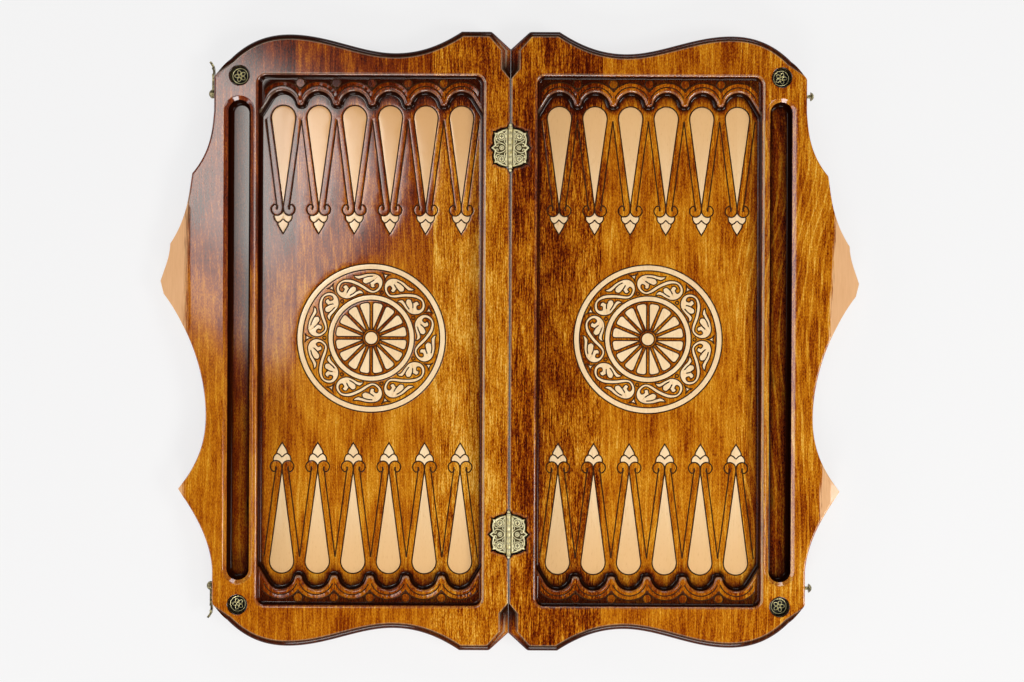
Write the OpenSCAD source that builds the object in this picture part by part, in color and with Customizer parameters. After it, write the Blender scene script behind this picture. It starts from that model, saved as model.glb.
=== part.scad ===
// Folding backgammon board: two carved wooden halves on brass hinges, closed by brass hooks.
// The board lies open on the plane z = 0, and its hinge line runs along Y through x = 0.
// Every wooden half is drawn on the right, and the left one is its mirror image.

/* [Playing field] */
// Distance between neighbouring points
point_pitch = 34.4; // [31:0.2:40]
// Plain margin beside the first and the last point of a row
field_margin = 6; // [3:0.5:12]
// Length of the recess along the hinge line
recess_len = 515; // [480:1:560]
// Corner radius of the recess in plan
recess_corner_r = 8; // [4:0.5:12]
// Width of the arcade ledge at each end of the recess
ledge_w = 29.5; // [25:0.5:40]
// Width of the cusp between two checker pockets
cusp_w = 6.8; // [4:0.2:10]
// Depth of the playing field below the rim
field_depth = 16; // [12:0.5:22]
// Depth of the arcade ledge below the rim
ledge_depth = 6; // [3:0.5:9]
// Wood left under the playing field
field_floor_t = 14; // [11:0.5:20]

/* [Panel] */
// Rail between the hinge line and the recess
hinge_rail_w = 25.5; // [23:0.5:34]
// Rail between the recess and the trough
trough_gap = 4.5; // [3:0.5:8]
// Width of the trough for the checkers taken off
trough_w = 28; // [20:0.5:36]
// Distance from the end of the recess to the end of the trough
trough_inset = 22.5; // [18:0.5:30]
// Wood left under the trough
trough_floor_t = 12; // [8:0.5:16]
// Radius along the foot of the trough's wall
trough_fillet_r = 5; // [2:0.5:8]
// Rail between the trough and the side
side_rail_w = 10.5; // [8:0.5:16]
// Rail beyond the recess at its narrowest
end_rail_w = 21.3; // [16:0.1:30]
// Gap between the two rims of the closed board
fold_gap = 0.4; // [0.2:0.1:1]
// Gap between the two halves along the hinge line
seam_gap = 0.6; // [0.3:0.1:1]
// Width of the left half's stave next to the hinges
left_hinge_stave_w = 75; // [40:1:110]
// Width of the left half's middle stave
left_middle_stave_w = 133; // [110:1:150]
// Width of the right half's stave next to the hinges
right_hinge_stave_w = 89.5; // [40:0.5:110]
// Width of the right half's middle stave
right_middle_stave_w = 131.5; // [110:0.5:150]

/* [Outline] */
// Rise of the post at the hinge line above the valley of the end
post_rise = 21.2; // [14:0.1:30]
// Near end of the post's flat top, from the hinge line
post_near_x = 20.5; // [14:0.5:26]
// Length of the post's flat top
post_flat = 27; // [18:0.5:36]
// Depth of the notch at the hinge line below the post
notch_depth = 17; // [8:0.5:20]
// Place of the valley along the end
valley_x = 112; // [90:1:130]
// Place of the crest along the end
crest_x = 214; // [190:1:235]
// Rise of the crest above the valley
crest_rise = 17.7; // [10:0.1:26]
// How far the ear at each corner stays below the end of the recess
ear_inset = 3.5; // [1:0.5:6]
// Reach of the large tip beyond the side
tip_reach = 52.4; // [46:0.1:64]
// Place of the large tip along the side
tip_y = 57; // [50:1:66]
// Drop of the short facet under the large tip
tip_facet = 12.5; // [8:0.5:18]
// Undercut of the large tip's end
tip_undercut = 3.3; // [1:0.1:6]
// Reach of the upper step of the side
step_reach = 20.9; // [16:0.1:25]
// Place of the upper step along the side
step_y = 161; // [140:1:180]
// Reach of the middle step of the side
knee_reach = 42.6; // [34:0.1:45]
// Place of the middle step along the side
knee_y = 93; // [80:1:112]
// Reach of the waist between the two tips
waist_reach = 6.9; // [4:0.1:12]
// Distance of the waist below the middle of the side
waist_drop = 74; // [60:1:88]
// Reach of the small tip
spur_reach = 33.4; // [27:0.1:40]
// Distance of the small tip below the middle of the side
spur_drop = 144.5; // [130:0.5:165]
// Width of the moulding along the ends
moulding_w = 5.5; // [3:0.1:8]
// Depth of the moulding along the ends
moulding_h = 6; // [4:0.1:9]
// Upright step at the inner edge of the moulding
moulding_step = 0.9; // [0.4:0.1:1.5]
// Where the sloping finger grip of the tips starts, out from the side
grip_start = 24; // [20:0.5:29]
// Slope of the finger grip in degrees
grip_slope = 16; // [8:1:22]

/* [Hinges] */
// Distance of each hinge from the middle of the board
hinge_y = 187; // [150:1:205]
// Height of a leaf along its barrel
leaf_len = 37.2; // [32:0.2:42]
// Reach of a leaf's corner points from the barrel's axis
leaf_corner = 15.8; // [14:0.1:16.5]
// Reach of a leaf's middle point from the barrel's axis
leaf_point = 18.7; // [17.5:0.1:20]
// Thickness of a leaf
leaf_t = 1.2; // [0.8:0.1:1.6]
// Depth of a leaf's face below the rim
leaf_sink = 0.7; // [0.5:0.1:1]
// Gap between a leaf and its mortise
mortise_gap = 1.3; // [0.6:0.1:2]
// Radius of the barrel
barrel_r = 2.15; // [1.9:0.05:2.5]
// Length of the barrel
barrel_len = 40.6; // [36:0.2:46]
// Knuckles on a barrel, shared by its two leaves
knuckles = 7; // [5:2:9]
// Radius of the hinge pin
pin_r = 0.9; // [0.7:0.05:1.1]
// Radius of the ball at each end of the pin
finial_r = 1.45; // [1.2:0.05:1.7]
// Radius of a hinge screw's head
hinge_screw_head_r = 2.7; // [2:0.1:3.2]
// Radius of a hinge screw's shank
hinge_screw_r = 1.1; // [0.8:0.05:1.4]
// Length of a hinge screw under its head
hinge_screw_len = 10; // [6:0.5:14]

/* [Latches] */
// Depth of the hook's pivot and of the catch below the rim
latch_drop = 10.5; // [9.5:0.1:12]
// Distance of the latches beyond the end of the trough
latch_past_trough = 4; // [2:0.5:6]
// Thickness of the hook
hook_t = 2; // [1.5:0.1:2.4]
// Radius of the hook's eye
hook_eye_r = 4.2; // [3.6:0.1:5]
// Half of the width of the hook's bar
hook_bar = 2.4; // [1.8:0.1:3]
// Length of the hook's finger tab
hook_tab = 5.2; // [3:0.1:7]
// Outward bend of the finger tab in degrees
hook_bend = 32; // [15:1:45]
// Radius of the pivot screw where the hook turns on it
pivot_r = 1.6; // [1.3:0.05:2]
// Length of the latch screws inside the wood
latch_screw_len = 12; // [8:0.5:14]
// Thickness of the washer behind the hook
washer_t = 1; // [0.6:0.1:1.4]
// Radius of the domed heads of the pivot and the catch
dome_r = 4.4; // [3.8:0.1:4.8]
// Height of the domed heads
dome_h = 3.2; // [2.4:0.1:3.8]
// Radius of the catch's neck
neck_r = 1.7; // [1.4:0.05:2]
// Length of the catch's neck
neck_len = 4.8; // [4.2:0.1:6]

/* [Corner buttons] */
// Radius of the hole for a button
button_hole_r = 9.3; // [8:0.1:10]
// Depth of the hole for a button
button_hole_depth = 8; // [5:0.5:11]
// Thickness of a button
button_t = 2; // [1.2:0.1:3]
// Height of a button's raised rim
button_rim_h = 0.6; // [0.3:0.1:1]

/* [Hidden] */
points_in_row = 6;
// Radial clearance of a pin that turns in its bore
turning_clearance = 0.05;
// Clearance between pieces that pass each other
moving_clearance = 0.35;
// Radial clearance of a piece set into a hole
set_clearance = 0.05;
curve_steps = 12;
moulding_steps = 4;
overcut = 2;

thickness = field_floor_t + field_depth;
fold_z = thickness + fold_gap / 2;
edge_x = seam_gap / 2;
field_w = points_in_row * point_pitch + 2 * field_margin;
recess_end_x = hinge_rail_w + field_w;
recess_half = recess_len / 2;
ledge_y = recess_half - ledge_w;
pocket_r = (point_pitch - cusp_w) / 2;
trough_x = recess_end_x + trough_gap + trough_w / 2;
trough_half = recess_half - trough_inset;
side_x = trough_x + trough_w / 2 + side_rail_w;
half_w = side_x + tip_reach;
valley_y = recess_half + end_rail_w;
crest_y = valley_y + crest_rise;
post_y = valley_y + post_rise;
notch_y = post_y - notch_depth;
post_far_x = post_near_x + post_flat;
ear_y = recess_half - ear_inset;
latch_y = trough_half + latch_past_trough;
latch_z = thickness - latch_drop;
latch_flat = 17;
latch_end_gap = 0.5;
latch_flat_y = latch_y - latch_flat;
throat = 2 * latch_drop + fold_gap;
throat_r = neck_r + moving_clearance;
throat_mouth = 0.8;
hook_gap = 0.15;
hook_head_r = throat_r + 3.1;
hook_bend_at = throat + dome_r + 0.6;
button_x = trough_x;
button_y = ear_y + 2;
leaf_floor_z = thickness - leaf_sink - leaf_t;
finial_y = barrel_len / 2 + finial_r + 0.1;
knuckle_pitch = barrel_len / knuckles;
knuckle_gap = 0.3;
screw_x = 0.54 * leaf_corner;
screw_y = 0.295 * leaf_len;
wood = [0.62, 0.36, 0.12];
pale_brass = [0.80, 0.72, 0.46];
dark_brass = [0.36, 0.29, 0.18];
$fn = 64;

// Points of a Bezier curve after its start
function bezier(a, b, c, d, t) =
    a * pow(1 - t, 3) + 3 * b * t * pow(1 - t, 2) + 3 * c * t * t * (1 - t) + d * pow(t, 3);
function curve(a, b, c, d) = [for (i = [1:curve_steps]) bezier(a, b, c, d, i / curve_steps)];
function point_x(i) = hinge_rail_w + field_margin + (i + 0.5) * point_pitch;

// A curve from a to b that leaves and arrives by the given shares of the way between them
function part_way(way, share) = [way[0] * share[0], way[1] * share[1]];
function swing(a, b, leave, arrive) =
    curve(a, a + part_way(b - a, leave), b - part_way(b - a, arrive), b);

// One end of a half, from the hinge line over the post, the valley and the crest to the ear
post_far = [post_far_x, post_y];
valley = [valley_x, valley_y];
crest = [crest_x, crest_y];
ear = [side_x, ear_y];
end_path = concat(
    [[edge_x, ear_y], [edge_x, notch_y], [post_near_x, post_y], post_far],
    swing(post_far, valley, [0.29, 0.57], [0.4, 0]),
    swing(valley, crest, [0.33, 0], [0.37, 0]),
    swing(crest, ear, [0.45, 0], [0.25, 0.62])
);

// The side of a half, from its upper ear down to its lower one
flat_top = [side_x, latch_flat_y];
step = [side_x + step_reach, step_y];
knee = [side_x + knee_reach, knee_y];
tip = [half_w, tip_y];
tip_under = tip - [tip_undercut, tip_facet];
waist = [side_x + waist_reach, -waist_drop];
spur = [side_x + spur_reach, -spur_drop];
flat_foot = [side_x, -latch_flat_y];
side_path = concat(
    [ear, flat_top],
    swing(flat_top, step, [0.07, 0.28], [0.885, 0.36]),
    swing(step, knee, [0.17, 0.34], [0.81, 0.37]),
    swing(knee, tip, [0.05, 0.36], [0.54, 0.42]),
    [tip_under],
    swing(tip_under, waist, [0.57, 0.25], [0, 0.37]),
    swing(waist, spur, [0, 0.41], [0.615, 0.29]),
    swing(spur, flat_foot, [0.43, 0.265], [0.06, 0.39]),
    [[side_x, -ear_y]]
);

function flipped(path) = [for (p = path) [p[0], -p[1]]];
function reversed(path) = [for (i = [len(path) - 1:-1:0]) path[i]];
half_outline = concat(end_path, side_path, reversed(flipped(end_path)));

// Moulding cutter: a section swept along the end of a half
function unit(v) = v / norm(v);
function inward(a, b) = let (d = unit(b - a)) [d[1], -d[0]];
function mitre(path, i) = let (
        before = inward(path[max(i - 1, 0)], path[max(i, 1)]),
        after = inward(path[min(i, len(path) - 2)], path[min(i + 1, len(path) - 1)]))
    (before + after) / (1 + before * after);
round_h = moulding_h - moulding_step;
function moulding_round(t) = [
    moulding_w * (1 - sin(t)), thickness - moulding_step - round_h * (1 - cos(t))];
last_round = moulding_round(75);
moulding_run_out = 1.5;
ear_direction = unit(ear - end_path[len(end_path) - 2]);
moulding_path = concat(end_path, [ear + moulding_run_out * ear_direction]);
moulding_section = concat(
    [[-overcut, thickness + overcut], [moulding_w, thickness + overcut]],
    [for (i = [0:moulding_steps]) moulding_round(75 * i / moulding_steps)],
    [[-overcut, last_round[1] - 1.6 * (last_round[0] + overcut)]]
);
sides = len(moulding_section);
moulding_points = [
    for (i = [0:len(moulding_path) - 1])
        for (s = moulding_section)
            let (p = moulding_path[i] + s[0] * mitre(moulding_path, i)) [p[0], p[1], s[1]]
];
function ring_quads(i) = [
    for (k = [0:sides - 1])
        let (a = i * sides + k, b = i * sides + (k + 1) % sides)
            each [[a, b + sides, b], [a, a + sides, b + sides]]
];
moulding_faces = concat(
    [for (i = [0:len(moulding_path) - 2]) each ring_quads(i)],
    [[for (k = [0:sides - 1]) k]],
    [[for (k = [sides - 1:-1:0]) (len(moulding_path) - 1) * sides + k]]
);

module both_ends() {
    children();
    mirror([0, 1, 0]) children();
}

module moulding_cut() {
    both_ends() polyhedron(moulding_points, moulding_faces);
}

module recess_cut() {
    core_w = field_w - 2 * recess_corner_r;
    core_len = recess_len - 2 * recess_corner_r;
    translate([hinge_rail_w + field_w / 2, 0, thickness - ledge_depth])
        linear_extrude(ledge_depth + overcut) {
            square([core_w, recess_len], center = true);
            square([field_w, core_len], center = true);
            for (x = [-1, 1], y = [-1, 1])
                translate([x * core_w / 2, y * core_len / 2]) circle(recess_corner_r);
        }
}

module field_cut() {
    translate([hinge_rail_w, -ledge_y, field_floor_t]) cube([field_w, 2 * ledge_y, thickness]);
    both_ends()
        for (i = [0:points_in_row - 1])
            translate([point_x(i), ledge_y, field_floor_t]) cylinder(thickness, r = pocket_r);
}

module trough_half_section() {
    height = thickness - trough_floor_t + overcut;
    square([trough_w / 2 - trough_fillet_r, height]);
    translate([0, trough_fillet_r]) square([trough_w / 2, height - trough_fillet_r]);
    translate([trough_w / 2 - trough_fillet_r, trough_fillet_r]) circle(trough_fillet_r);
}

module trough_cut() {
    straight = 2 * trough_half - trough_w;
    translate([trough_x, 0, trough_floor_t]) {
        rotate([90, 0, 0])
            linear_extrude(straight, center = true) {
                trough_half_section();
                mirror([1, 0]) trough_half_section();
            }
        both_ends()
            translate([0, straight / 2, 0])
                rotate_extrude()
                    intersection() {
                        trough_half_section();
                        square([trough_w, 2 * thickness]);
                    }
    }
}

module button_holes() {
    both_ends()
        translate([button_x, button_y, thickness - button_hole_depth])
            cylinder(button_hole_depth + overcut, r = button_hole_r);
}

// Upper quarter of a leaf's edge, from the barrel to its middle point, grown by g
function leaf_quarter(g) = concat(
    [[0, leaf_len / 2 + g]],
    curve([0, leaf_len / 2 + g], [0.32 * leaf_corner, 0.49 * leaf_len + g],
        [0.62 * leaf_corner + g, 0.475 * leaf_len + g], [0.84 * leaf_corner + g, 0.385 * leaf_len + g]),
    [[leaf_corner + g, 0.402 * leaf_len + g]],
    curve([0.945 * leaf_corner + g, 0.345 * leaf_len + g], [1.05 * leaf_corner + g, 0.27 * leaf_len],
        [1.05 * leaf_corner + g, 0.16 * leaf_len], [0.955 * leaf_corner + g, 0.09 * leaf_len + g]),
    [[leaf_point + g, 0]]
);
function leaf_edge(g) = concat(leaf_quarter(g), reversed(flipped(leaf_quarter(g))));

module mortise_cuts() {
    mouth = finial_r + mortise_gap + moving_clearance;
    apex = finial_y + mouth;
    for (y = [-hinge_y, hinge_y])
        translate([0, y, 0]) {
            translate([0, 0, leaf_floor_z])
                linear_extrude(thickness) {
                    polygon(leaf_edge(mortise_gap));
                    polygon([[0, -apex], [mouth, -barrel_len / 2], [mouth, barrel_len / 2], [0, apex]]);
                }
            translate([0, 0, fold_z])
                rotate([90, 0, 0])
                    cylinder(barrel_len + 2 * mortise_gap, r = barrel_r + moving_clearance, center = true);
            for (s = [-screw_y, screw_y])
                translate([screw_x, s, leaf_floor_z - hinge_screw_len])
                    cylinder(thickness, r = hinge_screw_r + set_clearance);
        }
}

module latch_holes() {
    both_ends()
        translate([side_x - latch_screw_len, latch_y, latch_z])
            rotate([0, 90, 0]) cylinder(latch_screw_len + overcut, r = pivot_r + set_clearance);
}

module grip_cut() {
    translate([side_x + grip_start, -valley_y, thickness])
        rotate([0, grip_slope, 0]) cube([2 * tip_reach, 2 * valley_y, thickness]);
}

// A stave of the right half, between two distances from the hinge line
module stave(from_x, to_x) {
    color(wood)
        difference() {
            linear_extrude(thickness)
                intersection() {
                    polygon(half_outline);
                    translate([from_x, -post_y]) square([to_x - from_x, 2 * post_y]);
                }
            recess_cut();
            field_cut();
            trough_cut();
            button_holes();
            mortise_cuts();
            latch_holes();
            moulding_cut();
            grip_cut();
        }
}

// Knuckles of one leaf, counted from the lower end of the barrel
module knuckle_row(first, grow_r, grow_len) {
    for (k = [first:2:knuckles - 1])
        translate([0, (k + 0.5) * knuckle_pitch - barrel_len / 2, 0])
            rotate([90, 0, 0])
                cylinder(knuckle_pitch - knuckle_gap + grow_len, r = barrel_r + grow_r, center = true);
}

// The right leaf of a hinge has the even knuckles, and the left one the odd ones
module leaf(first) {
    other = 1 - first;
    color(pale_brass)
        difference() {
            union() {
                translate([0, 0, leaf_floor_z]) linear_extrude(leaf_t) polygon(leaf_edge(0));
                translate([0, 0, fold_z]) knuckle_row(first, 0, 0);
            }
            translate([0, 0, fold_z]) {
                knuckle_row(other, moving_clearance, 2 * knuckle_gap);
                rotate([90, 0, 0])
                    cylinder(leaf_len + barrel_len, r = pin_r + turning_clearance, center = true);
            }
            for (s = [-screw_y, screw_y])
                translate([screw_x, s, 0])
                    cylinder(2 * thickness, r = hinge_screw_r + set_clearance);
        }
}

module hinge_pin() {
    color(pale_brass)
        translate([0, 0, fold_z])
            rotate([90, 0, 0]) {
                cylinder(2 * finial_y, r = pin_r, center = true);
                for (z = [-finial_y, finial_y])
                    translate([0, 0, z]) sphere(finial_r);
            }
}

module hinge_screws() {
    head_h = 0.5;
    color(pale_brass)
        for (s = [-screw_y, screw_y])
            translate([screw_x, s, leaf_floor_z + leaf_t]) {
                cylinder(head_h, r = hinge_screw_head_r);
                translate([0, 0, -hinge_screw_len]) cylinder(hinge_screw_len, r = hinge_screw_r);
            }
}

// A domed screw along +X, with its shank inside the wood and its neck up to x = reach
module domed_screw(reach, r) {
    ball_r = (dome_r * dome_r + dome_h * dome_h) / (2 * dome_h);
    rotate([0, 90, 0]) {
        shank = latch_screw_len - latch_end_gap;
        translate([0, 0, -shank]) cylinder(shank, r = pivot_r);
        cylinder(reach, r = r);
        translate([0, 0, reach])
            intersection() {
                translate([0, 0, dome_h - ball_r]) sphere(ball_r);
                cylinder(2 * dome_h, r = 2 * dome_r);
            }
    }
}

module hook_pivot() {
    reach = washer_t + hook_t + 2 * hook_gap;
    color(dark_brass)
        mirror([1, 0, 0]) translate([side_x, latch_y, latch_z]) domed_screw(reach, pivot_r);
}

module hook_washer() {
    color(dark_brass)
        translate([-side_x - washer_t, latch_y, latch_z])
            rotate([0, 90, 0])
                difference() {
                    cylinder(washer_t, r = hook_eye_r);
                    translate([0, 0, -overcut])
                        cylinder(washer_t + 2 * overcut, r = pivot_r + set_clearance);
                }
}

module catch() {
    color(dark_brass) translate([side_x, latch_y, latch_z]) domed_screw(neck_len, neck_r);
}

// The hook lies along +Y at rest, and its throat opens upward
module hook() {
    mouth = throat_r + throat_mouth;
    tab_half = 2.2;
    fork_half = 3.6;
    fork_notch = 2;
    color(dark_brass)
        translate([-side_x - washer_t - hook_gap, latch_y, latch_z])
            rotate([90, 0, 90])
                difference() {
                    union() {
                        translate([0, 0, -hook_t])
                            linear_extrude(hook_t) {
                                circle(hook_eye_r);
                                translate([0, -hook_bar]) square([throat, 2 * hook_bar]);
                                translate([throat, -0.8]) circle(hook_head_r);
                                translate([throat, -tab_half]) square([hook_bend_at - throat, 2 * tab_half]);
                            }
                        translate([hook_bend_at, 0, -hook_t / 2])
                            rotate([0, hook_bend, 0])
                                translate([0, 0, -hook_t / 2])
                                    linear_extrude(hook_t)
                                        polygon([
                                            [-0.6, -tab_half], [0.5 * hook_tab, -tab_half],
                                            [hook_tab, -fork_half], [hook_tab - fork_notch, 0],
                                            [hook_tab, fork_half], [0.5 * hook_tab, tab_half],
                                            [-0.6, tab_half]
                                        ]);
                    }
                    translate([0, 0, -hook_t - overcut])
                        cylinder(hook_t + 2 * overcut, r = pivot_r + turning_clearance);
                    translate([throat, 0, -hook_t - overcut])
                        linear_extrude(hook_t + 2 * overcut) {
                            circle(throat_r);
                            polygon([
                                [-throat_r, 0], [throat_r, 0],
                                [throat_r, 2 * hook_head_r], [-mouth, 2 * hook_head_r]
                            ]);
                        }
                }
}

module button() {
    rim_w = 1;
    color(dark_brass)
        translate([button_x, button_y, thickness - button_hole_depth]) {
            cylinder(button_t - button_rim_h, r = button_hole_r - set_clearance);
            difference() {
                cylinder(button_t, r = button_hole_r - set_clearance);
                cylinder(2 * button_t, r = button_hole_r - set_clearance - rim_w);
            }
        }
}

module to_left() {
    mirror([1, 0, 0]) children();
}

module to_lower() {
    mirror([0, 1, 0]) children();
}

module at_upper_hinge() {
    translate([0, hinge_y, 0]) children();
}

module at_lower_hinge() {
    translate([0, -hinge_y, 0]) children();
}

left_seam = left_hinge_stave_w + left_middle_stave_w;
right_seam = right_hinge_stave_w + right_middle_stave_w;

to_left() stave(0, left_hinge_stave_w);  // left_hinge_stave
to_left() stave(left_hinge_stave_w, left_seam);  // left_middle_stave
to_left() stave(left_seam, half_w + overcut);  // left_outer_stave
stave(0, right_hinge_stave_w);  // right_hinge_stave
stave(right_hinge_stave_w, right_seam);  // right_middle_stave
stave(right_seam, half_w + overcut);  // right_outer_stave
at_upper_hinge() to_left() leaf(1);  // upper_hinge_left_leaf
at_upper_hinge() leaf(0);  // upper_hinge_right_leaf
at_upper_hinge() hinge_pin();  // upper_hinge_pin
at_upper_hinge() to_left() hinge_screws();  // upper_hinge_left_screws
at_upper_hinge() hinge_screws();  // upper_hinge_right_screws
at_lower_hinge() to_left() leaf(1);  // lower_hinge_left_leaf
at_lower_hinge() leaf(0);  // lower_hinge_right_leaf
at_lower_hinge() hinge_pin();  // lower_hinge_pin
at_lower_hinge() to_left() hinge_screws();  // lower_hinge_left_screws
at_lower_hinge() hinge_screws();  // lower_hinge_right_screws
hook();  // upper_hook
hook_pivot();  // upper_hook_pivot
hook_washer();  // upper_hook_washer
catch();  // upper_catch
to_lower() hook();  // lower_hook
to_lower() hook_pivot();  // lower_hook_pivot
to_lower() hook_washer();  // lower_hook_washer
to_lower() catch();  // lower_catch
to_left() button();  // upper_left_button
to_left() to_lower() button();  // lower_left_button
button();  // upper_right_button
to_lower() button();  // lower_right_button
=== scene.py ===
import bpy
import bmesh
import numpy as np
from math import asin, atan2, ceil, cos, exp, floor, hypot, pi, radians, sin, sqrt, tan
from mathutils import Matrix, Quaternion, Vector
from mathutils.geometry import delaunay_2d_cdt


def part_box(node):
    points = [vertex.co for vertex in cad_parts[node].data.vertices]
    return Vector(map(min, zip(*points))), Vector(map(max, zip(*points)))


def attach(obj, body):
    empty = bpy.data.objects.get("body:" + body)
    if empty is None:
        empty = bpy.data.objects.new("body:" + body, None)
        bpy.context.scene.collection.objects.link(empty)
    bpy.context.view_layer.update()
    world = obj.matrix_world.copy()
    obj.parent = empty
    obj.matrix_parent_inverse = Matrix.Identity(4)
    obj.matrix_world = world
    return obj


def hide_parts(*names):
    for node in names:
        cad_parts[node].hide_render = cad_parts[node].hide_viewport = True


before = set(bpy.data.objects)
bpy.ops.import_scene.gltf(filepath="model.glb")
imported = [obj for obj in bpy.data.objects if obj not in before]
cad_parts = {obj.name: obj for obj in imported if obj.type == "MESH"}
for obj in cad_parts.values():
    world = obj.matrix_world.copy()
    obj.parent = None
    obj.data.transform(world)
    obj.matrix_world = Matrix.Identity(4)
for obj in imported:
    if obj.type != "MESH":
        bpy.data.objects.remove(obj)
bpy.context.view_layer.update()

mm = 0.001


# Camera, floor and light

studio = {
    "viewWidth": 0.990,          # what the picture's width covers at the rim
    "height": 1.7,               # camera above the rim
    "aim": (0.0024, 0.0001),     # the picture's middle on the board
    "roll": 0.265,               # degrees
    "rim": 0.030,
    "floorSize": 9.0,
    "floorDrop": 0.0004,         # keeps the floor just clear of the board's underside
    "floorTints": ((0.90, 0.90, 0.90, 1.0), (0.92, 0.92, 0.92, 1.0)),
    "floorTone": (0.913, 0.913, 0.916, 1.0),
    "floorGlow": 0.82,           # share of the floor that keeps that tone in a shadow
}

roomStops = [
    # the room's tone from the horizon up to the ceiling
    (0.0, (0.25, 0.235, 0.22, 1.0)),
    (0.42, (0.21, 0.20, 0.185, 1.0)),
    (0.62, (0.06, 0.058, 0.055, 1.0)),
    (1.0, (0.012, 0.011, 0.010, 1.0)),
]

softBoxes = [
    # name, place, aim, turn, size, radiance, tint,
    # and whether it lights the wood, shows in the lacquer or both
    ("sheenPanel", (-0.560, 0.306, 1.85), (-0.560, 0.306, 0.0), -32, (0.545, 0.51), 3.3,
     (1.0, 0.96, 0.90), "lacquer"),
    ("sheenCore", (-0.550, 0.360, 1.84), (-0.550, 0.360, 0.0), -32, (0.36, 0.32), 2.6,
     (1.0, 0.96, 0.90), "lacquer"),
    ("fillPanel", (0.0, 0.0, 2.9), (0.0, 0.0, 0.0), 0, (2.6, 2.6), 1.2, (1.0, 0.99, 0.98), "wood"),
    ("leftPanel", (-2.3, -0.3, 1.0), (0.0, 0.0, 0.0), 0, (2.2, 0.9), 3.4, (1.0, 0.96, 1.0), "both"),
    ("rightPanel", (1.7, -0.7, 1.9), (0.0, 0.0, 0.0), 0, (0.9, 0.7), 14.0, (1.0, 0.98, 0.95), "both"),
    ("headPanel", (0.5, 2.4, 1.4), (0.0, 0.0, 0.0), 0, (1.2, 0.6), 6.0, (0.96, 0.98, 1.0), "both"),
    ("footPanel", (0.1, -2.2, 1.3), (0.0, 0.0, 0.0), 0, (1.2, 0.8), 11.0, (1.0, 0.98, 0.95), "both"),
]


def makeCamera():
    scene = bpy.context.scene
    data = bpy.data.cameras.new("boardCamera")
    data.sensor_fit = "HORIZONTAL"
    data.angle = 2 * atan2(studio["viewWidth"] / 2, studio["height"])
    data.clip_end = 30
    camera = bpy.data.objects.new("boardCamera", data)
    camera.location = (*studio["aim"], studio["rim"] + studio["height"])
    camera.rotation_euler.z = radians(studio["roll"])
    scene.collection.objects.link(camera)
    scene.camera = camera
    scene.view_settings.view_transform = "Standard"


def makeSoftBox(name, place, aim, turn, size, radiance, tint, reaches):
    data = bpy.data.lights.new(name, "AREA")
    data.shape = "RECTANGLE"
    data.size, data.size_y = size
    data.energy = radiance * pi * size[0] * size[1]
    data.color = tint
    lamp = bpy.data.objects.new(name, data)
    lamp.location = place
    heading = (Vector(aim) - Vector(place)).to_track_quat("-Z", "Y")
    lamp.rotation_euler = (heading @ Quaternion((0, 0, 1), radians(turn))).to_euler()
    lamp.visible_diffuse = reaches != "lacquer"
    lamp.visible_glossy = reaches != "wood"
    bpy.context.scene.collection.objects.link(lamp)


# Shader sums

class Wire:
    # a shader socket that takes part in sums
    def __init__(self, socket):
        self.socket = socket
        self.tree = socket.id_data

    def node(self, kind, settings={}, inputs={}, out=0):
        return addNode(self.tree, kind, settings, inputs, out)

    def math(self, operation, *values):
        inputs = {i: value for i, value in enumerate(values)}
        return self.node("ShaderNodeMath", {"operation": operation}, inputs)

    def __add__(self, other):
        return self.math("ADD", self, other)

    def __sub__(self, other):
        return self.math("SUBTRACT", self, other)

    def __rsub__(self, other):
        return self.math("SUBTRACT", other, self)

    def __mul__(self, other):
        return self.math("MULTIPLY", self, other)

    __radd__ = __add__
    __rmul__ = __mul__

    def step(self, low, high):
        settings = {"interpolation_type": "SMOOTHSTEP", "clamp": True}
        return self.node("ShaderNodeMapRange", settings, {"Value": self, "From Min": low, "From Max": high})

    def scaled(self, factors):
        return self.node("ShaderNodeVectorMath", {"operation": "MULTIPLY"}, {0: self, 1: factors})

    def moved(self, offset):
        return self.node("ShaderNodeVectorMath", {"operation": "ADD"}, {0: self, 1: offset})

    def noise(self, detail=2.0, roughness=0.5):
        inputs = {"Vector": self, "Scale": 1.0, "Detail": detail, "Roughness": roughness}
        return self.node("ShaderNodeTexNoise", {}, inputs)

    def grain(self, across, along, detail=2.0, roughness=0.5):
        # noise drawn out along the board, its size in millimetres
        return self.scaled((1 / across, 1 / along, 1 / across)).noise(detail, roughness)

    def axis(self, number):
        return self.node("ShaderNodeSeparateXYZ", {}, {0: self}, number)

    def layer(self, name):
        # a value kept at the mesh's points
        return self.node("ShaderNodeAttribute", {"attribute_name": name}, {}, 2)

    def bump(self, strength, distance):
        inputs = {"Height": self, "Strength": strength, "Distance": distance}
        return self.node("ShaderNodeBump", {}, inputs)

    def ramp(self, stops):
        return self.node("ShaderNodeValToRGB", {"stops": stops}, {"Fac": self})

    def mixed(self, first, second):
        return self.node("ShaderNodeMix", {"data_type": "RGBA"}, {0: self, 6: first, 7: second}, 2)


def addNode(tree, kind, settings, inputs, out=0):
    node = tree.nodes.new(kind)
    for name, value in settings.items():
        if name == "stops":
            setStops(node.color_ramp, value)
        else:
            setattr(node, name, value)
    for key, value in inputs.items():
        if isinstance(value, Wire):
            tree.links.new(value.socket, node.inputs[key])
        else:
            node.inputs[key].default_value = value
    return Wire(node.outputs[out])


def setStops(ramp, stops):
    while len(ramp.elements) < len(stops):
        ramp.elements.new(0.5)
    for element, (place, tint) in zip(ramp.elements, stops):
        element.position = place
        element.color = tint


def rgb(red, green, blue):
    # a colour as it looks on screen, for a socket
    def linear(c):
        c = c / 255
        return c / 12.92 if c <= 0.04045 else ((c + 0.055) / 1.055) ** 2.4
    return (linear(red), linear(green), linear(blue), 1.0)


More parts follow.
